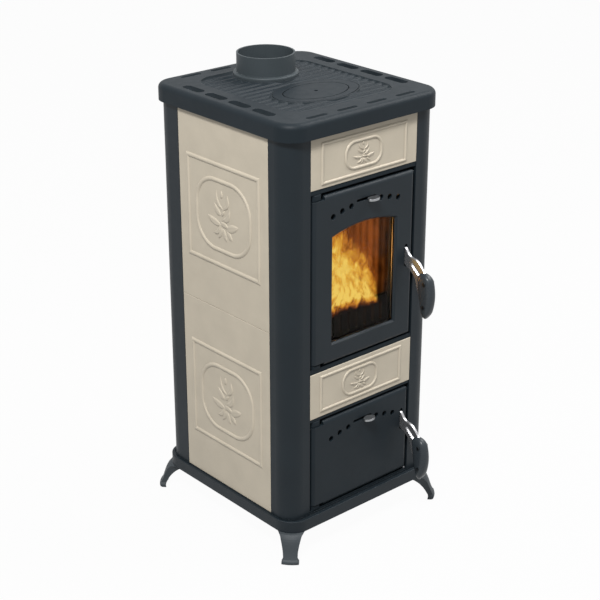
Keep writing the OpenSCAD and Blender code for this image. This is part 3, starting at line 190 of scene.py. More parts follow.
class Surface:
    """A material with one principled shader, in object coordinates."""

    def __init__(self, name, color, roughness, **sockets):
        self.material = bpy.data.materials.new(name)
        self.material.use_nodes = True
        self.tree = self.material.node_tree
        self.shader = self.tree.nodes["Principled BSDF"]
        self.place = self.node("ShaderNodeTexCoord").outputs["Object"]
        self.shader.inputs["Base Color"].default_value = (*color, 1)
        self.shader.inputs["Roughness"].default_value = roughness
        for socket, value in sockets.items():
            self.shader.inputs[socket.replace("_", " ")].default_value = value

    def node(self, kind, **values):
        made = self.tree.nodes.new(kind)
        for key, value in values.items():
            setattr(made, key, value)
        return made

    def link(self, source, target):
        self.tree.links.new(source, target)

    def noise(self, scale, detail=3.0, stretch=(1, 1, 1)):
        """Noise with this many grains for each metre, stretched where a factor is less than 1."""
        mapping = self.node("ShaderNodeMapping")
        mapping.inputs["Scale"].default_value = stretch
        texture = self.node("ShaderNodeTexNoise")
        texture.inputs["Scale"].default_value = scale
        texture.inputs["Detail"].default_value = detail
        self.link(self.place, mapping.inputs["Vector"])
        self.link(mapping.outputs[0], texture.inputs["Vector"])
        return texture.outputs["Fac"]

    def color_by(self, source, stops):
        """Colours the surface by a source, from (place, colour) stops."""
        self.link(color_ramp(self.tree, source, stops), self.shader.inputs["Base Color"])

    def remap(self, source, from_min, from_max, to_min, to_max):
        """Source carried from one range to another, and held at its ends."""
        ranged = self.node("ShaderNodeMapRange")
        ranged.inputs["From Min"].default_value = from_min
        ranged.inputs["From Max"].default_value = from_max
        ranged.inputs["To Min"].default_value = to_min
        ranged.inputs["To Max"].default_value = to_max
        self.link(source, ranged.inputs["Value"])
        return ranged.outputs["Result"]

    def rough_by(self, source, low, high):
        """Roughness from low to high by a noise, most of which lies in NOISE_RANGE."""
        rough = self.remap(source, *NOISE_RANGE, low, high)
        self.link(rough, self.shader.inputs["Roughness"])

    def light_hollows(self, reach, strength):
        """Adds a faint grey glow, painted light, where other faces are closer than the reach, in
        metres.
        """
        near = self.node("ShaderNodeAmbientOcclusion", samples=AO_SAMPLES)
        near.inputs["Distance"].default_value = reach
        glow = self.remap(near.outputs["AO"], 0.0, 1.0, strength, 0.0)
        self.link(glow, self.shader.inputs["Emission Strength"])
        self.shader.inputs["Emission Color"].default_value = (*HOLLOW_LIGHT, 1)

    def bump(self, *heights, edge=0.0):
        """Adds bumps, each a (source, height in metres, strength), on edges rounded to a radius."""
        normal = None
        if edge:
            bevel = self.node("ShaderNodeBevel", samples=BEVEL_SAMPLES)
            bevel.inputs["Radius"].default_value = edge
            normal = bevel.outputs["Normal"]
        for source, height, strength in heights:
            bump = self.node("ShaderNodeBump")
            bump.inputs["Distance"].default_value = height
            bump.inputs["Strength"].default_value = strength
            self.link(source, bump.inputs["Height"])
            if normal:
                self.link(normal, bump.inputs["Normal"])
            normal = bump.outputs["Normal"]
        self.link(normal, self.shader.inputs["Normal"])


def shade(color, factor):
    """The colour, darker or lighter by a factor."""
    return tuple(c * factor for c in color)


def cast_iron(name, color, roughness=0.45, gloss=0.21, hollows=0.0):
    """Enamelled casting: fine sand grain, faint clouds in colour and gloss, and a painted glow that
    lightens hollows.
    """
    iron = Surface(name, color, roughness, Specular_IOR_Level=gloss)
    clouds = iron.noise(14)
    iron.color_by(clouds, [(0.3, shade(color, 0.94)), (0.7, shade(color, 1.06))])
    iron.rough_by(iron.noise(60), roughness - 0.03, roughness + 0.03)
    if hollows:
        iron.light_hollows(HOLLOW_REACH, hollows)
    iron.bump((iron.noise(900, 2), 0.00025, 0.12), edge=CAST_EDGE)
    return iron.material


def glazed_tile(name, color):
    """Cream glaze with a faint random change in tone, fine grain and gentle waves in its surface.
    """
    tile = Surface(name, color, 0.34, Specular_IOR_Level=0.16, Coat_Weight=0.05, Coat_Roughness=0.2)
    tile.color_by(tile.noise(22, 4), [(0.25, shade(color, 0.95)), (0.75, shade(color, 1.05))])
    tile.rough_by(tile.noise(45), 0.30, 0.40)
    tile.bump((tile.noise(180), 0.0003, 0.10), (tile.noise(12), 0.002, 0.05), edge=0.0008)
    return tile.material


def polished_chrome(name):
    """Chrome plate with a faint ripple."""
    chrome = Surface(name, (0.40, 0.40, 0.41), 0.26, Metallic=0.88)
    chrome.rough_by(chrome.noise(240), 0.24, 0.30)
    chrome.bump((chrome.noise(700), 0.0001, 0.05), edge=0.0005)
    return chrome.material


def plain_steel(name, color):
    """Bare steel, brushed along Z."""
    steel = Surface(name, color, 0.38, Metallic=1.0)
    steel.rough_by(steel.noise(500, 2, BRUSHED), 0.28, 0.48)
    steel.bump((steel.noise(900, 2, BRUSHED), 0.0001, 0.12), edge=0.0005)
    return steel.material


def black_sheet(name, color):
    """Sheet steel under a matt heat-resistant paint, dusted with grey."""
    sheet = Surface(name, color, 0.62, Specular_IOR_Level=0.13)
    sheet.color_by(sheet.noise(30, 5), [(0.3, color), (0.75, shade(color, 1.8))])
    sheet.bump((sheet.noise(600), 0.0002, 0.2), edge=0.0008)
    return sheet.material


def sooty_iron(name):
    """Casting under a dull layer of soot with a few paler flakes."""
    soot = Surface(name, (0.004, 0.004, 0.0045), 0.92, Specular_IOR_Level=0.05)
    soot.color_by(soot.noise(50, 6), [(0.4, (0.003, 0.003, 0.0035)), (0.8, (0.014, 0.012, 0.010))])
    soot.bump((soot.noise(300, 4), 0.0006, 0.4), edge=0.001)
    return soot.material


def moulded_grip(name):
    """Grey plastic with a fine moulded grain."""
    grip = Surface(name, (0.024, 0.030, 0.035), 0.30, Specular_IOR_Level=0.26)
    grip.rough_by(grip.noise(300), 0.25, 0.36)
    grip.bump((grip.noise(1600, 2), 0.0001, 0.25))
    return grip.material


# where the firebricks start to darken and are fully dark, in metres: upwards, and towards the door,
# where the darkening is painted shade
DARK_Z = (0.64, 0.70)
SHADE_Y = (-0.072, -0.105)
BRICK_COLOR = (0.23, 0.122, 0.05)


def firebrick(name):
    """Buff refractory, grainy and darker above, with painted shade towards the door and stripes of
    painted light and shade as on fluting lit by the fire.
    """
    brick = Surface(name, BRICK_COLOR, 0.9, Specular_IOR_Level=0.08)
    place = brick.node("ShaderNodeSeparateXYZ")
    brick.link(brick.place, place.inputs[0])
    # the bricks darken upwards; towards the door the darkening is painted shade, and at the back a
    # little painted light
    above = brick.remap(place.outputs["Z"], *DARK_Z, 0.0, -0.5)
    front = brick.remap(place.outputs["Y"], *SHADE_Y, 0.10, -0.30)
    # stripes of painted light and shade, as on fluting lit by the fire
    flute_shading = brick.node("ShaderNodeTexWave", wave_type="BANDS", bands_direction="Y")
    flute_shading.inputs["Scale"].default_value = 16
    flute_shading.inputs["Distortion"].default_value = 0.6
    brick.link(brick.place, flute_shading.inputs["Vector"])
    # the lower the sum, the darker the brick
    darkening = maths(brick.tree, "ADD", above, front)
    with_flute_shading = maths(brick.tree, "MULTIPLY_ADD", flute_shading.outputs["Fac"], 0.30, darkening)
    stain_and_shade = maths(brick.tree, "ADD", brick.noise(24, 6), with_flute_shading)
    brick.color_by(stain_and_shade, [(0.1, shade(BRICK_COLOR, 0.03)), (0.4, shade(BRICK_COLOR, 0.25)),
                            (0.85, BRICK_COLOR)])
    brick.bump((brick.noise(420, 4), 0.0008, 0.5), edge=0.0015)
    return brick.material


def braided_rope(name):
    """Grey glass-fibre rope."""
    rope = Surface(name, (0.20, 0.19, 0.17), 0.9, Specular_IOR_Level=0.1, Sheen_Weight=0.3)
    braid = rope.node("ShaderNodeTexWave", wave_type="BANDS", bands_direction="DIAGONAL")
    braid.inputs["Scale"].default_value = 160
    rope.link(rope.place, braid.inputs["Vector"])
    rope.color_by(braid.outputs["Fac"], [(0.0, (0.10, 0.095, 0.085)), (1.0, (0.30, 0.28, 0.25))])
    rope.bump((braid.outputs["Fac"], 0.001, 0.6))
    return rope.material


def door_glass_material(name):
    """Clear ceramic glass, slightly amber: mostly see-through, with a sharp reflection."""
    material, tree = empty_material(name)
    clear = tree.nodes.new("ShaderNodeBsdfTransparent")
    clear.inputs["Color"].default_value = (0.93, 0.90, 0.86, 1)
    shine = tree.nodes.new("ShaderNodeBsdfGlossy")
    shine.inputs["Roughness"].default_value = 0.04
    shine.inputs["Color"].default_value = (1, 1, 1, 1)
    fresnel = tree.nodes.new("ShaderNodeFresnel")
    fresnel.inputs["IOR"].default_value = 1.09
    show_mix(tree, "ShaderNodeOutputMaterial", fresnel.outputs[0], clear, shine)
    return material


def paint(material, *nodes):
    """Gives the material to CAD nodes."""
    for node in nodes:
        for entry in bpy.data.objects[node].material_slots:
            entry.material = material


# Mesh helpers

def add_piece(name, mesh, material, body, smooth=True):
    """Piece of the stove that rides on a body, with the material in its mesh."""
    piece = add_object(name, mesh)
    mesh.materials.append(material)
    for face in mesh.polygons:
        face.use_smooth = smooth
    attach(piece, body)
    return piece


def mesh_from(name, verts, faces):
    mesh = bpy.data.meshes.new(name)
    mesh.from_pydata([tuple(v) for v in verts], [], faces)
    mesh.update()
    return mesh


def curve_point(p, t):
    """Point at t of the cubic Bezier curve with control points p."""
    a, b, c, d = (Vector(q) for q in p)
    return a * (1 - t) ** 3 + b * 3 * (1 - t) ** 2 * t + c * 3 * (1 - t) * t * t + d * t ** 3


def curve(p, steps):
    return [curve_point(p, i / steps) for i in range(steps + 1)]


# Tile relief: a folk tulip, each petal a domed leaf from base to tip

RELIEF_H = 2.1
LEAF_STEPS, LEAF_SIDES = 16, 8
# depth of a leaf's vein against its height, and how far its rim lies in the glaze
VEIN, SINK = 0.25, 0.15
# base, tip, width and sideways bend of each leaf, on a flower about 100 high
TULIP = [
    ((0, 15), (-21, 53), 10, 9),
    ((1, 15), (14, 51), 10, -10),
    ((-4, 38), (-4, 55), 9, 0),
    ((-7, 1), (-30, 24), 14, 2),
    ((-5, 3), (6, 14), 8, -1),
    ((-3, -9), (23, 23), 14, -9),
    ((-8, -19), (-54, -7), 16, 2),
    ((-9, -14), (20, -20), 12, 1),
    ((12, -24), (52, -10), 19, 0),
    ((-9, -19), (-34, -41), 11, 6),
    ((-3, -23), (-17, -49), 12, 2),
    ((0, -24), (14, -50), 13, -2),
    ((12, -26), (32, -44), 13, 0),
]


def leaf_grid(base, tip, width, bend, slim):
    """Rows of (u, v, height) points over one leaf."""
    base, tip = Vector(base), Vector(tip)
    along = tip - base
    across = Vector((-along.y, along.x)).normalized()
    rows = []
    for i in range(LEAF_STEPS + 1):
        t = i / LEAF_STEPS
        # widest past the middle, and never quite closed
        half = slim * width / 2 * math.sin(math.pi * t ** 0.8) ** 0.85 + 0.05
        middle = base + along * t + across * bend * math.sin(math.pi * t)
        rise = RELIEF_H * min(1.0, 3.5 * t + 0.25, 4 * (1 - t) + 0.1)
        row = []
        for j in range(LEAF_SIDES + 1):
            s = 2 * j / LEAF_SIDES - 1
            place = middle + across * half * s
            dome = math.sqrt(max(0, 1 - s * s)) - VEIN * max(0.0, 1 - abs(s) * 4)
            row.append((place.x, place.y, rise * dome - SINK))
        rows.append(row)
    return rows


def flower_mesh(name, centre, right, out, size, slim):
    """Tulip with its middle at centre; right and out are directions, size scales it each way."""
    verts, faces = [], []
    up = Vector((0, 0, 1))
    for leaf in TULIP:
        start = len(verts)
        for row in leaf_grid(*leaf, slim):
            verts += [centre + (right * u * size[0] + up * v * size[1] + out * h) * MM
                      for u, v, h in row]
        side = LEAF_SIDES + 1
        for i in range(LEAF_STEPS):
            for j in range(LEAF_SIDES):
                a = start + i * side + j
                faces.append((a, a + 1, a + side + 1, a + side))
    return mesh_from(name, verts, faces)


# heights of the flowers' middles, and their size across and up against the list above
SIDE_X = 196
SIDE_FLOWERS = {"lower": 288, "upper": 692}
SIDE_SIZE = (0.92, 0.98)
FRONT_FACE_Y = -201
FRONT_FLOWERS = {"head": 830.6, "middle": 351.0}
FRONT_SIZE = (0.54, 0.43)
FRONT_SLIM = 0.78


def make_flowers(material):
    """A flower on each tile."""
    for side, sign in (("left", -1), ("right", 1)):
        for level, z in SIDE_FLOWERS.items():
            mesh = flower_mesh("flower", point(sign * SIDE_X, -8, z), Vector((0, sign, 0)),
                               Vector((sign, 0, 0)), SIDE_SIZE, 1.0)
            add_piece(f"flower_{side}_{level}", mesh, material, "stove")
    for place, z in FRONT_FLOWERS.items():
        mesh = flower_mesh("flower", point(-4, FRONT_FACE_Y, z), Vector((1, 0, 0)),
                           Vector((0, -1, 0)), FRONT_SIZE, FRONT_SLIM)
        add_piece(f"flower_{place}", mesh, material, "stove")


# Handles, in (y, z) from the door face and the slot centre, in millimetres

DOOR_Y = -203
HANDLE_X = 116
LEVER_T = 6
LEVER_BEVEL = 0.9
BEVEL_STEPS = 3
HANDLES = {"fire": 588.7, "ash": 217.3}
# the lever's outline: Bezier curves along its top and its underside, points at foot and nose
LEVER_TOP = [
    ((2, 18), (-6, 16), (-8, 1), (-22, 0.5)),
    ((-22, 0.5), (-36, 0), (-44, -10), (-52, -19)),
    ((-52, -19), (-60, -25), (-70, -34), (-72, -52)),
]
LEVER_LOW = [
    ((-64, -100), (-48, -86), (-33, -66), (-31, -46)),
    ((-31, -46), (-28, -34), (-14, -26), (2, -18)),
]
LEVER_FOOT = [(-72, -94), (-69, -99)]
LEVER_NOSE = [(12, -11), (12, -6), (31, -6), (31, 12.7), (12, 12.7), (10, 18)]
SLOT_ENDS = ((-22, -14), (-44, -32))
SLOT_R = 3.5
PIVOT = (12, 0)
PIVOT_R = 3.1
RIM_STEPS, CIRCLE_SIDES = 10, 28
SMOOTH_ANGLE = math.radians(35)


def lever_rim():
    top, low = ([p for part in parts for p in curve(part, RIM_STEPS)]
                for parts in (LEVER_TOP, LEVER_LOW))
    return top + [Vector(p) for p in LEVER_FOOT] + low + [Vector(p) for p in LEVER_NOSE]


def slot_rim():
    """Outline of the lever's slot, with round ends."""
    a, b = (Vector(p) for p in SLOT_ENDS)
    along = (b - a).normalized()
    turn = math.atan2(along.y, along.x)
    rim = []
    for end, start in ((b, -0.5), (a, 0.5)):
        for i in range(RIM_STEPS + 1):
            angle = turn + math.pi * (start + i / RIM_STEPS)
            rim.append(end + SLOT_R * Vector((math.cos(angle), math.sin(angle))))
    return rim


def circle_rim(centre, radius):
    angles = [2 * math.pi * i / CIRCLE_SIDES for i in range(CIRCLE_SIDES)]
    return [Vector(centre) + radius * Vector((math.cos(a), math.sin(a))) for a in angles]


def plate_from_rims(name, rims, thickness, bevel):
    """Flat plate with rounded edges, cut out along closed rims, as a mesh in its own plane."""
    data = bpy.data.curves.new(name, "CURVE")
    data.dimensions = "2D"
    data.fill_mode = "BOTH"
    data.extrude = thickness / 2 - bevel
    data.bevel_depth = bevel
    data.bevel_resolution = BEVEL_STEPS
    data.offset = -bevel
    for rim in rims:
        clean = [p for i, p in enumerate(rim) if (p - rim[i - 1]).length > 1e-4]
        spline = data.splines.new("POLY")
        spline.points.add(len(clean) - 1)
        for spot, p in zip(spline.points, clean):
            spot.co = (p.x, p.y, 0, 1)
        spline.use_cyclic_u = True
    shape = add_object(name, data)
    bpy.context.view_layer.update()
    depsgraph = bpy.context.evaluated_depsgraph_get()
    mesh = bpy.data.meshes.new_from_object(shape.evaluated_get(depsgraph))
    bpy.data.objects.remove(shape)
    return mesh


def smooth_by_angle(piece):
    """Keeps flat faces flat and rounds the rest."""
    bpy.context.view_layer.objects.active = piece
    piece.select_set(True)
    bpy.ops.object.shade_smooth_by_angle(angle=SMOOTH_ANGLE)
    piece.select_set(False)


def make_lever(door, z, material):
    """Lever of a door, with its slot's centre at height z."""
    mesh = plate_from_rims("lever", [lever_rim(), slot_rim(), circle_rim(PIVOT, PIVOT_R)],
                           LEVER_T, LEVER_BEVEL)
    for vertex in mesh.vertices:
        y, up, across = vertex.co
        vertex.co = point(HANDLE_X + across, DOOR_Y + y, z + up)
    piece = add_piece(f"lever_{door}", mesh, material, f"{door}_handle_body")
    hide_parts(f"{door}_handle_lever")
    smooth_by_angle(piece)


# Grip: level sections from the top down, s millimetres below the slot centre

GRIP_TOP, GRIP_L, GRIP_W, GRIP_REACH = 22, 98, 24, 80
GRIP_BULGE_R, GRIP_BULGE_AT = 105, 0.46
GRIP_BACK, GRIP_BACK_RISE = 38, 18
# u above which and below which the grip's ends are rounded
GRIP_ROUND_ABOVE, GRIP_ROUND_BELOW = 0.16, 0.82
# the power that squares its sections, and the share that keeps it inside the CAD grip
GRIP_SQUARE, GRIP_INSET = 0.7, 0.995
# share of its width that it loses towards its ends
GRIP_SLIM = 0.14
GRIP_STEPS, GRIP_SIDES = 30, 28


def grip_front(s):
    """Distance of the grip's outer side from the door."""
    from_bulge = s - GRIP_TOP - GRIP_L * GRIP_BULGE_AT
    return GRIP_REACH - GRIP_BULGE_R + math.sqrt(GRIP_BULGE_R ** 2 - from_bulge ** 2)


def grip_back(s):
    """Distance of the grip's inner side from the door."""
    return GRIP_BACK + GRIP_BACK_RISE * max(0.0, (s - GRIP_TOP) / GRIP_L) ** 1.5


def grip_end(u):
    """Share of the full section at u, less than 1 at the rounded ends."""
    if u < GRIP_ROUND_ABOVE:
        beyond = (GRIP_ROUND_ABOVE - u) / GRIP_ROUND_ABOVE
    elif u > GRIP_ROUND_BELOW:
        beyond = (u - GRIP_ROUND_BELOW) / (1 - GRIP_ROUND_BELOW)
    else:
        return 1.0
    return math.sqrt(max(0.0, 1 - beyond ** 2))


def grip_section(u):
    """Ring of (x, y, z) points of the grip at u, 0 at its top and 1 at its foot."""
    s = GRIP_TOP + GRIP_L * u
    share = grip_end(u) * GRIP_INSET
    half_y = (grip_front(s) - grip_back(s)) / 2 * share
    half_x = GRIP_W / 2 * (1 - GRIP_SLIM + GRIP_SLIM * math.sin(math.pi * u)) * share
    middle = (grip_front(s) + grip_back(s)) / 2
    ring = []
    for j in range(GRIP_SIDES):
        angle = 2 * math.pi * j / GRIP_SIDES
        c, d = math.cos(angle), math.sin(angle)
        x = math.copysign(abs(c) ** GRIP_SQUARE, c) * half_x
        y = math.copysign(abs(d) ** GRIP_SQUARE, d) * half_y
        ring.append((x, y - middle, -s))
    return ring


def make_grip(door, z, material):
    """Grip of a door's lever, with the slot's centre at height z."""
    # closer sections near the round ends
    stops = [0.5 - 0.5 * math.cos(math.pi * i / GRIP_STEPS) for i in range(1, GRIP_STEPS)]
    verts, faces = [], []
    for u in stops:
        verts += [point(HANDLE_X + x, DOOR_Y + y, z + up) for x, y, up in grip_section(u)]
    for i in range(len(stops) - 1):
        for j in range(GRIP_SIDES):
            a, b = i * GRIP_SIDES + j, i * GRIP_SIDES + (j + 1) % GRIP_SIDES
            faces.append((a, a + GRIP_SIDES, b + GRIP_SIDES, b))
    last = len(verts) - GRIP_SIDES
    faces.append(tuple(range(GRIP_SIDES)))
    faces.append(tuple(last + j for j in reversed(range(GRIP_SIDES))))
    piece = add_piece(f"grip_{door}", mesh_from("grip", verts, faces), material,
                      f"{door}_handle_body")
    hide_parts(f"{door}_handle_grip")


# Fire: split logs on the grate, embers under them and sheets of flame

HEARTH_Z = 430.4
# hot core of the fire in metres, and how far its heat reaches to the right and up or down
CORE_X, CORE_Z = 0.035, 0.525
CORE_REACH_X, CORE_REACH_Z = 0.085, 0.125
CORE_HEAT = 0.96
# wisps for each metre of the fire, longer upwards
WISP_SCALE = (62, 62, 34)
# colours from cool to hot
FLAME_COLORS = [
    (0.0, (0.06, 0.012, 0.004)),
    (0.3, (0.27, 0.075, 0.014)),
    (0.55, (0.55, 0.21, 0.022)),
    (0.8, (0.82, 0.45, 0.055)),
    (1.0, (0.96, 0.70, 0.15)),
]


def flame_material(name):
    """Flame: yellow in the fire's core, red-brown and thin at its tips and feet, torn to wisps."""
    material, tree = empty_material(name)
    coords = tree.nodes.new("ShaderNodeTexCoord")
    sheet, place = (tree.nodes.new("ShaderNodeSeparateXYZ") for _ in range(2))
    tree.links.new(coords.outputs["UV"], sheet.inputs[0])
    tree.links.new(coords.outputs["Object"], place.inputs[0])
    mapping = tree.nodes.new("ShaderNodeMapping")
    mapping.inputs["Scale"].default_value = WISP_SCALE
    tree.links.new(coords.outputs["Object"], mapping.inputs["Vector"])
    wisps = tree.nodes.new("ShaderNodeTexNoise")
    wisps.inputs["Scale"].default_value = 1.0
    wisps.inputs["Detail"].default_value = 9
    wisps.inputs["Roughness"].default_value = 0.62
    wisps.inputs["Distortion"].default_value = 0.5
    tree.links.new(mapping.outputs[0], wisps.inputs["Vector"])

    def calc(operation, first, second, clamp=False):
        return maths(tree, operation, first, second, clamp=clamp)

    def dip(value, middle, reach):
        return calc("POWER", calc("DIVIDE", calc("SUBTRACT", value, middle), reach), 2.0)

    across, up = sheet.outputs["X"], sheet.outputs["Y"]
    wisp = calc("SUBTRACT", wisps.outputs["Fac"], 0.5)
    # the heat fades to the right of the core, above and below it, and at the foot of each sheet
    right = calc("MAXIMUM", place.outputs["X"], CORE_X)
    fall = calc("ADD", dip(right, CORE_X, CORE_REACH_X),
                dip(place.outputs["Z"], CORE_Z, CORE_REACH_Z))
    foot = calc("MULTIPLY", calc("SUBTRACT", 0.34, up), 2.6, True)
    heat = calc("ADD", calc("SUBTRACT", calc("SUBTRACT", CORE_HEAT, foot), fall),
                calc("MULTIPLY", wisp, 2.0))
    glow = tree.nodes.new("ShaderNodeEmission")
    glow.inputs["Strength"].default_value = 1.0
    tree.links.new(color_ramp(tree, heat, FLAME_COLORS), glow.inputs["Color"])
    clear = tree.nodes.new("ShaderNodeBsdfTransparent")
    # the sheet is clear at its sides and tip, where it is torn, and where it is cool
    sides = calc("MULTIPLY", calc("MULTIPLY", across, calc("SUBTRACT", 1.0, across)), 7.0, True)
    tip = calc("MULTIPLY", calc("SUBTRACT", 1.0, up), 3.2)
    rim = calc("MULTIPLY", sides, tip, True)
    torn = calc("MULTIPLY", calc("ADD", calc("MULTIPLY", wisp, 3.0), rim), rim, True)
    hot = calc("ADD", calc("MULTIPLY", heat, 1.7), 0.15, True)
    show_mix(tree, "ShaderNodeOutputMaterial", calc("MULTIPLY", torn, hot, True), clear, glow)
    return material


FLAME_COLUMNS, FLAME_ROWS = 12, 20
FLAME_FOOT = 22
FLAME_TAPER = 0.55
# millimetres that a sheet sways sideways, bows and ripples
FLAME_SWAY, FLAME_BOW, FLAME_RIPPLE = 9, 14, 5


def make_flame(name, x, y, turn, width, height, material, foot=FLAME_FOOT):
    """Curved upright sheet from a foot above the hearth, narrower towards its tip."""
    columns, rows = FLAME_COLUMNS, FLAME_ROWS
    c, s = math.cos(turn), math.sin(turn)
    verts, faces = [], []
    for j in range(rows + 1):
        v = j / rows
        sway = FLAME_SWAY * math.sin(5 * v + x) * v
        for i in range(columns + 1):
            u = i / columns
            across = (u - 0.5) * width * (1 - FLAME_TAPER * v ** 1.5)
            bow = FLAME_BOW * math.cos(math.pi * (u - 0.5))
            depth = bow + FLAME_RIPPLE * math.sin(7 * v + 3 * u)
            verts.append(point(x + (across + sway) * c - depth * s,
                               y + (across + sway) * s + depth * c, HEARTH_Z + foot + v * height))
    for j in range(rows):
        for i in range(columns):
            a = j * (columns + 1) + i
            faces.append((a, a + 1, a + columns + 2, a + columns + 1))
    mesh = mesh_from(name, verts, faces)
    layer = mesh.uv_layers.new(name="UVMap")
    for polygon in mesh.polygons:
        for loop in polygon.loop_indices:
            index = mesh.loops[loop].vertex_index
            layer.data[loop].uv = ((index % (columns + 1)) / columns, index // (columns + 1) / rows)
    piece = add_piece(name, mesh, material, "stove")
    piece.visible_shadow = False


def log_material(name):
    """Charred bark with glowing cracks."""
    log = Surface(name, (0.02, 0.013, 0.009), 0.85, Specular_IOR_Level=0.2)
    cracks = log.noise(60, 6)
    log.color_by(cracks, [(0.35, (0.012, 0.008, 0.006)), (0.65, (0.075, 0.042, 0.02))])
    log.link(color_ramp(log.tree, cracks, [(0.36, (1.0, 0.22, 0.02)), (0.44, (0, 0, 0))]),
             log.shader.inputs["Emission Color"])
    log.shader.inputs["Emission Strength"].default_value = 1.4
    log.bump((log.noise(90, 5), 0.004, 0.8))
    return log.material


LOG_RINGS, LOG_SIDES = 18, 20
BARK_RELIEF = 0.10


def make_log(name, start, end, radius, seed, material):
    """Rough split log between two points, millimetres in the body's frame."""
    start, end = point(*start), point(*end)
    along = (end - start).normalized()
    side = along.cross(Vector((0, 0, 1))).normalized()
    up = side.cross(along)
    rings, count = LOG_RINGS, LOG_SIDES
    verts, faces = [], []
    for i in range(rings + 1):
        t = i / rings
        for j in range(count):
            angle = 2 * math.pi * j / count
            out = side * math.cos(angle) + up * math.sin(angle)
            # a log split along one side is flat there
            flat = min(1.0, 0.72 / max(0.2, math.cos(angle - seed)))
            bark = 1 + BARK_RELIEF * noise.noise(out * 3 + Vector((t * 6, seed, 0)))
            end_round = 0.9 + 0.1 * min(1.0, 8 * min(t, 1 - t))
            verts.append(start.lerp(end, t) + out * radius * MM * flat * bark * end_round)
    for i in range(rings):
        for j in range(count):
            a, b = i * count + j, i * count + (j + 1) % count
            faces.append((a, b, b + count, a + count))
    faces.append(tuple(reversed(range(count))))
    faces.append(tuple(rings * count + j for j in range(count)))
    add_piece(name, mesh_from(name, verts, faces), material, "stove")


COALS = 60


def make_embers(material):
    """Heap of glowing coals over the grate."""
    rng = random.Random(7)
    shape = bmesh.new()
    for _ in range(COALS):
        coal = bmesh.ops.create_icosphere(shape, subdivisions=1, radius=rng.uniform(5, 11) * MM)
        centre = point(rng.uniform(-75, 80), rng.uniform(-70, 60), HEARTH_Z + rng.uniform(5, 12))
        stretch = Vector((rng.uniform(0.8, 1.3), rng.uniform(0.8, 1.3), rng.uniform(0.5, 0.9)))
        for vertex in coal["verts"]:
            vertex.co = centre + Vector(a * b for a, b in zip(vertex.co, stretch))
    mesh = bpy.data.meshes.new("embers")
    shape.to_mesh(mesh)
    shape.free()
    add_piece("embers", mesh, material, "stove", smooth=False)


# Sheet behind the top of the window that turns the air down over the glass, as (y, z)
DEFLECTOR = [(-161, 756), (-150, 744), (-150, 676), (-146, 668)]
DEFLECTOR_HALF, DEFLECTOR_T = 118, 1.5


def make_deflector(material):
    """Bent sheet of steel across the window."""
    verts, faces = [], []
    for y, z in DEFLECTOR:
        for x in (-DEFLECTOR_HALF, DEFLECTOR_HALF):
            verts += [point(x, y, z), point(x, y + DEFLECTOR_T, z + 0.3 * DEFLECTOR_T)]
    for i in range(0, 4 * (len(DEFLECTOR) - 1), 4):
        faces += [(i, i + 4, i + 6, i + 2), (i + 1, i + 3, i + 7, i + 5),
                  (i, i + 1, i + 5, i + 4), (i + 2, i + 6, i + 7, i + 3)]
    last = len(verts) - 4
    faces += [(0, 2, 3, 1), (last, last + 1, last + 3, last + 2)]
    add_piece("air_deflector", mesh_from("deflector", verts, faces), material, "stove",
              smooth=False)


# Sheets of flame: x, y, width, height and the side of the fire that each turns to
SHEETS = [
    (-20, 60, 150, 165, -1),
    (35, 55, 130, 175, -1),
    (-15, -20, 130, 175, -1),
    (72, -84, 138, 235, -1),
    (-50, -55, 110, 165, -1),
    (62, -102, 118, 150, -1),
    (76, -44, 118, 205, -1),
    (66, 10, 110, 195, -1),
    (-70, -82, 118, 190, 1),
    (-76, -40, 112, 200, 1),
]
SHEET_TURN = math.radians(41)
SHEET_SPREAD = 0.25


def make_fire():
    """Logs and embers on the grate, the flames, and the light that they throw."""
    bark = log_material("burning_log")
    make_embers(bark)
    make_log("log_back", (-85, 45, HEARTH_Z + 32), (95, 30, HEARTH_Z + 36), 27, 1.1, bark)
    make_log("log_front", (-95, -62, HEARTH_Z + 30), (30, -50, HEARTH_Z + 30), 25, 2.3, bark)
    make_log("log_top", (-62, 28, HEARTH_Z + 72), (62, 46, HEARTH_Z + 76), 20, 0.4, bark)
    flame = flame_material("flame")
    for i, (x, y, width, height, side) in enumerate(SHEETS):
        turn = side * SHEET_TURN + SHEET_SPREAD * math.sin(i * 2.1)
        make_flame(f"flame_{i + 1}", x, y, turn, width, height, flame)
    make_flame("flame_guard", 8, -140, math.radians(-4), 130, 98, flame, foot=49)
    make_flame("flame_lip", -14, -184, 0.0, 150, 84, flame, foot=59)
    glow = bpy.data.lights.new("fire_glow", "POINT")
    glow.energy = 1.6
    glow.color = (1.0, 0.42, 0.10)
    glow.shadow_soft_size = 0.05
    add_object("fire_glow", glow, point(20, -40, 540))


# The scene

# colours, and the CAD nodes of each finish
IRON_COLOR = (0.0080, 0.0126, 0.0164)
# the flue collar is lighter than the body's iron: painted light for the sheen of the white
# surroundings on it
LIT_FLUE_COLOR = (0.036, 0.045, 0.050)
# the feet are lighter than the body's iron: painted light, as on a foot lit from the front
LIT_FOOT_COLOR = (0.029, 0.036, 0.041)
TILE_COLOR = (0.435, 0.388, 0.31)

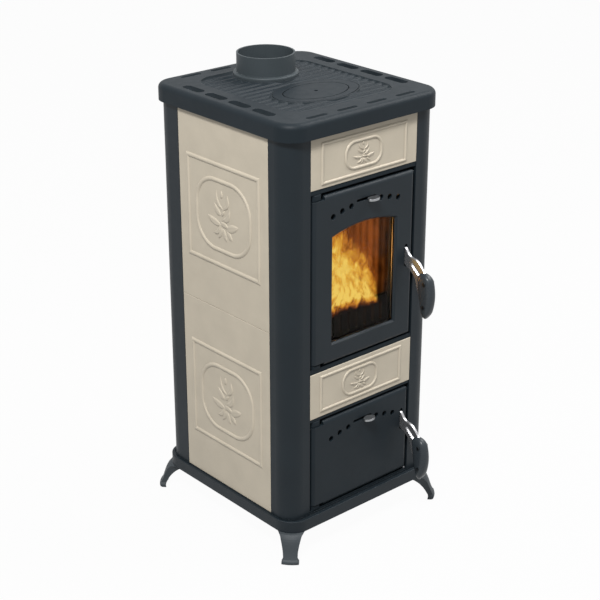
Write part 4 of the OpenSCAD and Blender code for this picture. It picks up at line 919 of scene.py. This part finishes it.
FOOT_NODES = ["foot_front_left", "foot_front_right", "foot_back_left", "foot_back_right"]
IRON_NODES = [
    "base_frame",
    "post_front_left", "post_front_right", "post_back_left", "post_back_right",
    "fire_door",
    "hearth_plate", "grate",
]
TILE_NODES = [
    "tile_left_lower", "tile_left_upper", "tile_right_lower", "tile_right_upper",
    "tile_front_head", "tile_front_middle",
]
STEEL_NODES = [
    "hinge_pins", "latch_keepers", "back_screws", "tie_rods", "glass_frame", "glass_screws",
    "fire_slide_screws", "fire_handle_pivot", "fire_air_tab",
    "ash_slide_screws", "ash_handle_pivot", "ash_air_tab",
]
CHROME_NODES = ["ash_door_rest"]
DARK_STEEL_NODES = ["fire_handle_screws", "ash_handle_screws"]
BLACK_NODES = ["firebox_shell", "ash_drawer", "fire_air_slide", "ash_air_slide"]
BRICK_NODES = ["brick_left", "brick_right", "brick_back"]
ROPE_NODES = ["cooktop_seal", "glass_gasket", "fire_door_seal", "ash_door_seal"]

make_camera()
make_world()
make_floor()
area_light("key", (-2.0, -1.5, 3.7), (0, 0, 0.5), size=0.7, power=190)
area_light("right", (1.9, -0.8, 3.1), (0, 0, 0.6), size=1.8, power=80)

iron = cast_iron("anthracite_iron", IRON_COLOR)
tile = glazed_tile("cream_glaze", TILE_COLOR)
chrome = polished_chrome("chrome")
paint(iron, *IRON_NODES)
paint(cast_iron("ash_door_iron", IRON_COLOR, gloss=0.15), "ash_door")
paint(cast_iron("casting_iron", IRON_COLOR, roughness=0.58, gloss=0.12), "front_casting")
# the cooktop's vents and grooves get a faint painted glow
paint(cast_iron("top_iron", IRON_COLOR, roughness=0.52, gloss=0.16, hollows=0.05), "cooktop")
paint(cast_iron("hob_iron", IRON_COLOR, roughness=0.52, gloss=0.14), "hob_ring", "hob_lid")
# the flue collar's lighter iron is painted light
paint(cast_iron("lit_flue_iron", LIT_FLUE_COLOR, roughness=0.5), "flue_collar")
# the top frame seen through the vents is three times lighter than the iron: painted light in the
# vents
paint(cast_iron("lit_inner_iron", shade(IRON_COLOR, 3)), "top_frame")
# the feet's lighter iron is painted light
paint(cast_iron("lit_foot_iron", LIT_FOOT_COLOR, roughness=0.58, gloss=0.32), *FOOT_NODES)
paint(tile, *TILE_NODES)
paint(chrome, *CHROME_NODES)
paint(plain_steel("steel", (0.33, 0.34, 0.35)), *STEEL_NODES)
paint(plain_steel("dark_steel", (0.05, 0.055, 0.06)), *DARK_STEEL_NODES)
paint(black_sheet("black_sheet", (0.008, 0.008, 0.009)), *BLACK_NODES)
# the log guard's near-black soot is partly real soot and partly painted shade on its face
paint(sooty_iron("soot"), "log_guard", "smoke_baffle")
paint(black_sheet("back_sheet", (0.020, 0.024, 0.028)), "back_panel")
paint(firebrick("firebrick"), *BRICK_NODES)
paint(braided_rope("rope"), *ROPE_NODES)
paint(door_glass_material("door_glass"), "door_glass")

make_flowers(tile)
grip = moulded_grip("grip")
for door, z in HANDLES.items():
    make_lever(door, z, chrome)
    make_grip(door, z, grip)
make_fire()
make_deflector(sooty_iron("deflector_soot"))

bpy.context.scene.view_settings.view_transform = "Standard"
